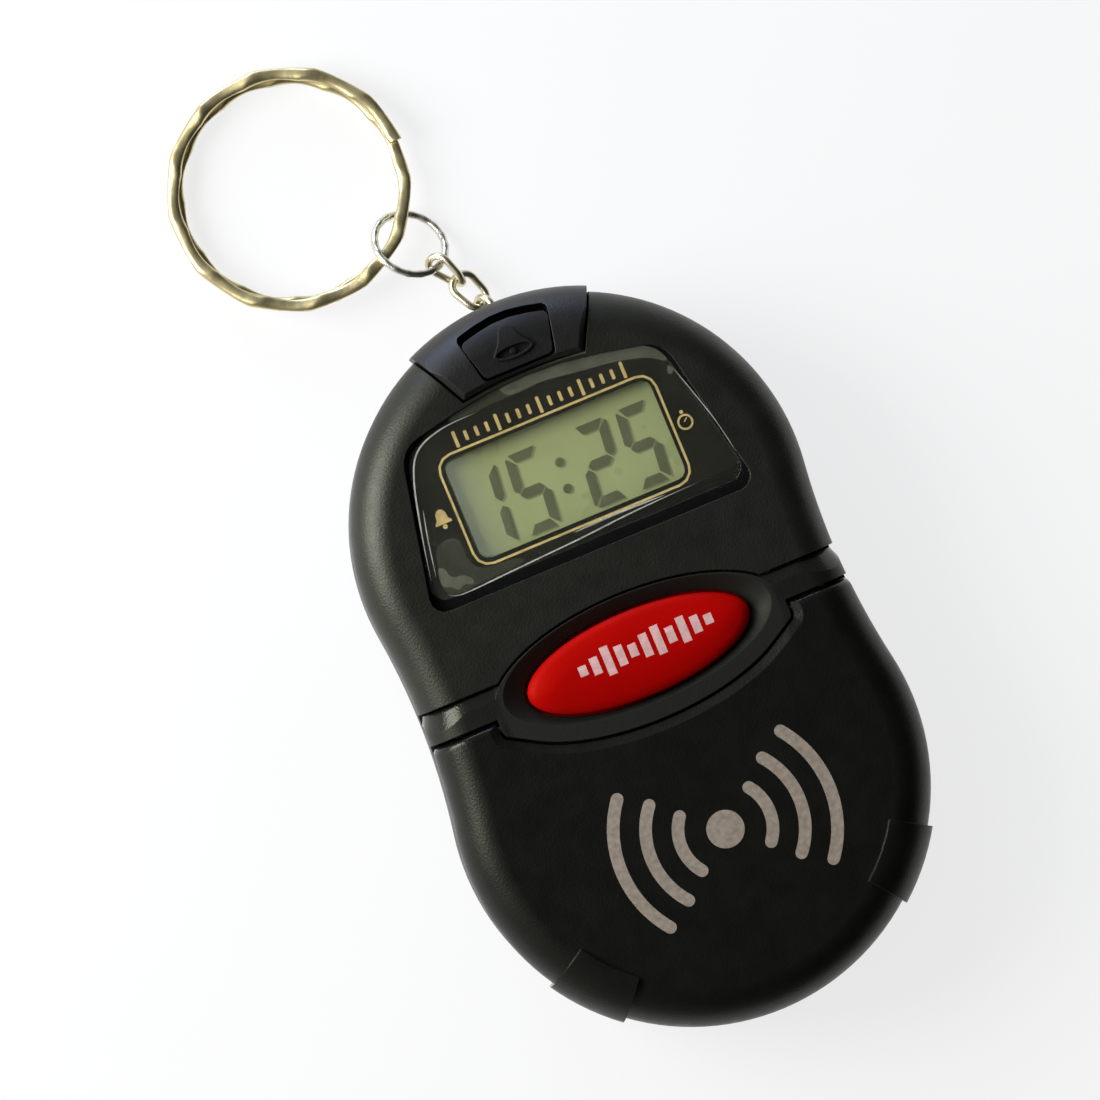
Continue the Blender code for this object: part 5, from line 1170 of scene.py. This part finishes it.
def placed(spot, shape, scale=SIGN_SCALE):
    return [(spot[0] + x * scale, spot[1] + y * scale) for x, y in shape]


marks += [placed(spot, shape) for spot, shape in SIGNS]
flat_piece("gold_marks", marks, *GOLD)
watch = arc(0, 0, 0.85, 0, 360, 32)
dial = [placed(WATCH_SPOT, watch, scale) for scale in (SIGN_SCALE, DIAL_SCALE)]
flat_piece("gold_dial_mark", dial[:1], *GOLD, dial[1:])


# Protective film left on the window, with air under it along the top and at a corner, a patch of
# painted reflection over the display's left side, and painted highlights as pale lines along its
# edges and creases

CURVE_STEPS = 8
FILM_THICKNESS = 0.000006


def flowing(points, closed=True):
    """Points on a smooth curve through the given ones, in millimetres, as metres."""
    spots = [Vector(point) for point in points]
    spots = [spots[-1], *spots, *spots[:2]] if closed else [spots[0], *spots, spots[-1]]
    made = []
    for before, here, ahead, after in zip(spots, spots[1:], spots[2:], spots[3:]):
        for step in range(CURVE_STEPS):
            share = step / CURVE_STEPS
            bend = (ahead - before) * share
            bend += (2 * before - 5 * here + 4 * ahead - after) * share**2
            bend += (3 * here - before - 3 * ahead + after) * share**3
            made.append(tuple((here + bend / 2) / 1000))
    return made if closed else made + [tuple(spots[-1] / 1000)]


def crease(width, points):
    """A thin band along a smooth curve, pointed at both ends."""
    line = flowing(points, closed=False)
    sides = ([], [])
    for index, (x, y) in enumerate(line[1:-1], 1):
        along = (Vector(line[index + 1]) - Vector(line[index - 1])).normalized()
        half = width / 2000 * min(1, 4 * min(index, len(line) - 1 - index) / len(line))
        sides[0].append((x - along.y * half, y + along.x * half))
        sides[1].append((x + along.y * half, y - along.x * half))
    return [line[0]] + sides[0] + [line[-1]] + list(reversed(sides[1]))


SHEET = [
    (-16.1, 14.2), (-14.6, 12.75), (-9, 12.95), (-4, 13.15), (4, 13.7), (12, 14.0), (16.3, 14.2),
    (16.6, 15.4), (15.2, 21.5), (13.9, 26.0), (12.6, 28.2), (8.5, 30.0), (3, 30.6), (-3, 30.6),
    (-8.5, 29.6), (-12.6, 27.4), (-14.6, 22.0),
]
TOP_AIR = [
    (-1.8, 29.05), (1.5, 29.1), (5, 28.65), (9, 28.1), (12, 27.3), (13.4, 26.4), (13.75, 26.6),
    (13.0, 27.9), (11.0, 29.1), (7.5, 30.1), (3.0, 30.5), (0, 30.5), (-2.6, 30.2),
]
FAINT_AIR = [(-8, 28.75), (-4.5, 28.95), (-1.2, 29.1), (-1.6, 30.3), (-5.2, 29.9), (-8.2, 29.3)]
CORNER_AIR = [
    (-15.3, 13.9), (-14.3, 13.0), (-11.5, 13.1), (-7.2, 13.35), (-7.6, 14.0), (-10.6, 14.3),
    (-11.9, 15.4), (-12.1, 17.8), (-13.4, 18.3), (-14.6, 17.6), (-15.1, 15.6),
]
SHARD = [
    (-15.35, 14.3), (-15.1, 15.9), (-14.5, 15.7), (-14.3, 15.0), (-13.9, 14.6), (-13.0, 14.45),
    (-12.3, 13.7), (-12.5, 13.3), (-13.2, 13.55), (-14.0, 13.3), (-14.5, 13.75),
]
BLOB = [(13.35, 25.3), (13.6, 25.8), (13.95, 25.4), (13.8, 25.0), (13.45, 24.95)]
# A pale patch over the display's left side: painted reflection
REFLECTION_PATCH = rounded_box(-0.0086, 0.0202, 0.0042, 0.0102, 0.0009)
LOW_CREASE = [(-15.2, 13.3), (-13.8, 12.75), (-9, 12.95), (-5, 13.15), (-1, 13.35), (4, 13.72)]
LEFT_CREASE = [(-16.2, 15.0), (-15.2, 20.0), (-13.9, 25.0), (-12.4, 27.5), (-9.4, 28.6)]
# The film's edges and creases are real; the pale lines along them are painted highlights
CREASE_GLINTS = [
    (0.14, LOW_CREASE + [(8, 13.9), (12, 14.0)]),
    (0.16, LEFT_CREASE + [(-5.5, 28.75)]),
    (0.10, [(-15.6, 15.2), (-14.9, 19.0), (-14.2, 22.0)]),
    (0.20, [(-1.5, 14.12), (3.0, 14.25), (8.5, 14.12)]),
    (0.10, [(13.9, 25.6), (14.9, 22.4), (16.0, 18.5), (16.5, 15.5)]),
]
# Each film piece: its shapes, its height over the window in micrometres, and its finish
FILMS = {
    "film_sheet": ([flowing(SHEET)], 4, "window_film"),
    "film_air_top": ([flowing(TOP_AIR), flowing(BLOB)], 12, "film_air"),
    "film_air_faint": ([flowing(FAINT_AIR), flowing(CORNER_AIR)], 12, "film_haze"),
    "film_air_shard": ([flowing(SHARD)], 20, "film_air"),
    "film_painted_reflection": ([REFLECTION_PATCH], 12, "film_painted_reflection"),
    "film_crease_glints": ([crease(*row) for row in CREASE_GLINTS], 28, "film_edge_glint"),
}
for name, (outlines, lift, finish) in FILMS.items():
    low = LENS_TOP + lift / 1000000
    film = flat_piece(name, outlines, low, low + FILM_THICKNESS, finish, *CLEAR)
    film.visible_shadow = False


# Display digits: seven bars each, leaning right, over a paler copy set right and down that is their
# painted shadow on the display

DIGIT_WIDTH, DIGIT_LOW, DIGIT_MIDDLE, DIGIT_HIGH = 0.00362, 0.0154, 0.01952, 0.02365
BAR = 0.00098
LEAN = math.tan(math.radians(5.5))
SEGMENTS = {"1": "bc", "2": "abged", "5": "afgcd"}
DIGITS = (("1", -0.0098), ("5", -0.0052), ("2", 0.00205), ("5", 0.00668))
COLON_RADIUS, COLON_HEIGHTS = 0.00047, (0.0184, 0.0211)
# How far a level bar's corners stay off the digit's sides
MIDDLE_TIP, MIDDLE_CORNER, MIDDLE_EXTRA = 0.0005, 0.00095, 0.00003
END_OUTER, END_INNER = 0.0004, 0.00102
# An upright bar's corners: how far in from the digit's side, and from its middle or, at the end,
# from its top or foot
UPRIGHT = (
    (0, 0.0006, 0), (0, 0.0004, 1), (0.00015, 0.00028, 1), (BAR, 0.00112, 1), (BAR, 0.00078, 0),
    (BAR / 2, 0.00022, 0),
)


def bar_shape(left, segment):
    """One bar of a digit before the lean: a level bar, or an upright one with a pointed end."""
    middle, half = left + DIGIT_WIDTH / 2, DIGIT_WIDTH / 2
    if segment == "g":
        tip, reach, rise = half - MIDDLE_TIP, half - MIDDLE_CORNER, BAR / 2 + MIDDLE_EXTRA
        flat = [(-reach, -rise), (reach, -rise), (tip, 0), (reach, rise), (-reach, rise), (-tip, 0)]
        return [(middle + x, DIGIT_MIDDLE + y) for x, y in flat]
    over = 1 if segment in "abf" else -1
    outer = DIGIT_HIGH if over > 0 else DIGIT_LOW
    if segment in "ad":
        wide, narrow = half - END_OUTER, half - END_INNER
        flat = [(-wide, 0), (wide, 0), (narrow, -over * BAR), (-narrow, -over * BAR)]
        return [(middle + x, outer + y) for x, y in flat]
    side = 1 if segment in "bc" else -1
    edge = left + DIGIT_WIDTH if side > 0 else left
    points = []
    for inset, gap, at_end in UPRIGHT:
        y = outer - over * gap if at_end else DIGIT_MIDDLE + over * gap
        points.append((edge - side * inset, y))
    return points


def leaned(points, shift=0.0):
    return [(x + (y - DIGIT_MIDDLE) * LEAN + shift, y - shift) for x, y in points]


shapes = []
for digit, left in DIGITS:
    shapes += [bar_shape(left, segment) for segment in SEGMENTS[digit]]
shapes += [arc(0, y, COLON_RADIUS, 0, 360, 24) for y in COLON_HEIGHTS]
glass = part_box("lcd_glass")[1].z
DIGITS_AND_PAINTED_SHADOW = {
    "display_digits": (0.0, glass + 0.00002, glass + 0.00004),
    "display_digit_painted_shadow": (0.0002, glass + 0.000004, glass + 0.000012),
}
# The second row is a painted shadow: the digits again, shifted right and down, just over the glass
for name, (shift, low, high) in DIGITS_AND_PAINTED_SHADOW.items():
    flat_piece(name, [leaned(s, shift) for s in shapes], low, high, name, "case", "display_glass")


# Emblem on the cover: a dot with rising arcs either side

EMBLEM, EMBLEM_DOT, EMBLEM_LINE, EMBLEM_DEPTH = (0.0012, -0.0186), 0.0019, 0.00125, 0.00001
EMBLEM_STEPS = 28
EMBLEM_ARCS = ((0.0047, 38), (0.0079, 40), (0.0111, 38))


def arc_band(centre, radius, width, start, end):
    """A band along an arc, with round ends."""
    outer = arc(*centre, radius + width / 2, start, end, EMBLEM_STEPS)
    inner = arc(*centre, radius - width / 2, end, start, EMBLEM_STEPS)
    caps = []
    for place, first in ((end, end), (start, start + 180)):
        tip = arc(*centre, radius, place, place, 1)[0]
        caps.append(arc(*tip, width / 2, first, first + 180, 8))
    return outer + caps[0] + inner + caps[1]


marks = [arc(*EMBLEM, EMBLEM_DOT, 0, 360, 48)]
for reach, half_angle in EMBLEM_ARCS:
    for middle in (0, 180):
        ends = middle - half_angle, middle + half_angle
        marks.append(arc_band(EMBLEM, reach, EMBLEM_LINE, *ends))
heights = CASE_THICKNESS - EMBLEM_DEPTH, CASE_THICKNESS + EMBLEM_DEPTH
flat_piece("cover_emblem", marks, *heights, "silver_ink", "flip_cover", "pale_brass")

# Button print: a row of rising and falling bars laid on the crown
PRINT_MIDDLE, PRINT_PITCH, PRINT_LIFT = (0.0009, 0.0012), 0.00134, 0.000012
PRINT_HALF_WIDTH, PRINT_HALF_HEIGHT = 0.00043, 0.00148
PRINT_SHARES = (0.35, 0.6, 1.0, 0.7, 0.45, 0.8, 1.0, 0.55, 0.9, 0.6, 0.35)
COLUMNS, ROWS = 4, 10
crown = BVHTree.FromObject(button, bpy.context.evaluated_depsgraph_get())
builder = bmesh.new()
for index, share in enumerate(PRINT_SHARES):
    middle_x = PRINT_MIDDLE[0] + (index - (len(PRINT_SHARES) - 1) / 2) * PRINT_PITCH
    grid = []
    for row in range(ROWS + 1):
        y = PRINT_MIDDLE[1] + PRINT_HALF_HEIGHT * share * (2 * row / ROWS - 1)
        grid.append([])
        for column in range(COLUMNS + 1):
            x = middle_x + PRINT_HALF_WIDTH * (2 * column / COLUMNS - 1)
            hit = crown.ray_cast(Vector((x, y, FAR)), Vector((0, 0, -1)))[0]
            grid[-1].append(builder.verts.new(hit + Vector((0, 0, PRINT_LIFT))))
    for low, high in zip(grid, grid[1:]):
        for column in range(COLUMNS):
            builder.faces.new((low[column], low[column + 1], high[column + 1], high[column]))
bars = made_of(builder, "button_bars", "pale_ink")
bars.data.shade_smooth()
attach(bars, "talk_button")

# The floor: pale paper that glows white towards the camera and in reflections
FLOOR_SIZE, FLOOR_SPOT, FLOOR_GLOW = 6.0, (0, 0.016, -0.00002), 0.78
PAPER_SCALE, PAPER_ROUGHNESS, PAPER_TONES = 40, 0.8, ((0.95, 0.95, 0.95), (0.97, 0.97, 0.97))
bpy.ops.mesh.primitive_plane_add(size=FLOOR_SIZE, location=FLOOR_SPOT)
floor = bpy.context.object
floor.name = "floor"
paper, tree, shader = shader_of("floor_paper")
tone = ranged(tree, noise(tree, add_node(tree, "TexCoord", out="Object"), PAPER_SCALE), 0, 1)
tree.links.new(blended(tree, tone, *PAPER_TONES), shader.inputs["Base Color"])
shader.inputs["Roughness"].default_value = PAPER_ROUGHNESS
rays = tree.nodes.new("ShaderNodeLightPath").outputs
seen = {0: rays["Is Camera Ray"], 1: rays["Is Glossy Ray"]}
seen = add_node(tree, "Math", seen, operation="ADD")
shown = {0: seen, 1: rays["Is Transmission Ray"]}
shown = add_node(tree, "Math", shown, operation="ADD", use_clamp=True)
share = add_node(tree, "Math", {0: shown, 1: FLOOR_GLOW}, operation="MULTIPLY")
mixed = {0: share, 1: shader.outputs[0], 2: add_node(tree, "Emission")}
mixed = add_node(tree, "MixShader", mixed)
tree.links.new(mixed, tree.nodes["Material Output"].inputs["Surface"])
floor.data.materials.append(paper)

# The camera looks straight down, turned and leaned as the photograph's
RIGHT = Vector((0.9232, -0.3843, 0))
TARGET = Vector((-0.00373, 0.013455, 0.008))
SIDE_TILT = math.radians(3.3)
BACK = Vector((-math.sin(SIDE_TILT), 0, math.cos(SIDE_TILT)))
DISTANCE, VIEW_WIDTH, SENSOR_WIDTH, CLIP_RANGE = 0.55, 0.110, 36, (0.01, 10)
right = (RIGHT - BACK * RIGHT.dot(BACK)).normalized()
lens_data = bpy.data.cameras.new("camera")
lens_data.sensor_width = SENSOR_WIDTH
lens_data.lens = SENSOR_WIDTH * DISTANCE / VIEW_WIDTH
lens_data.clip_start, lens_data.clip_end = CLIP_RANGE
camera = bpy.data.objects.new("camera", lens_data)
bpy.context.scene.collection.objects.link(camera)
aim = Matrix((right, BACK.cross(right), BACK)).transposed()
camera.matrix_world = Matrix.Translation(TARGET + BACK * DISTANCE) @ aim.to_4x4()
bpy.context.scene.camera = camera


def softbox(name, place_at, size, power, tint=(1, 1, 1)):
    """A round lamp that faces the object."""
    data = bpy.data.lights.new(name, "AREA")
    data.shape = "DISK"
    data.size = size
    data.energy = power
    data.color = tint
    lamp = bpy.data.objects.new(name, data)
    lamp.location = place_at
    lamp.rotation_euler = (TARGET - Vector(place_at)).to_track_quat("-Z", "Y").to_euler()
    bpy.context.scene.collection.objects.link(lamp)


softbox("key_light", (-0.222, 0.132, 0.178), 0.22, 1.08)
softbox("top_light", (-0.02, 0.53, 0.13), 0.30, 1.3, (0.50, 0.66, 1.0))

# The world: pale towards the horizon and the key light, dark overhead
BRIGHT_SIDE = (-0.62, 0.42, -0.66)
SKY_DARK, SKY_PALE, SKY_REACH, SKY_COLOUR = 0.03, 0.85, 0.75, (0.97, 0.98, 1.0, 1)
world = bpy.data.worlds.new("studio")
world.use_nodes = True
bpy.context.scene.world = world
tree = world.node_tree
sides = {0: add_node(tree, "TexCoord", out="Generated"), 1: BRIGHT_SIDE}
facing = add_node(tree, "VectorMath", sides, "Value", operation="DOT_PRODUCT")
sky = tree.nodes["Background"].inputs
tree.links.new(ranged(tree, facing, SKY_DARK, SKY_PALE, -SKY_REACH, SKY_REACH), sky["Strength"])
sky["Color"].default_value = SKY_COLOUR
bpy.context.scene.view_settings.view_transform = "Standard"
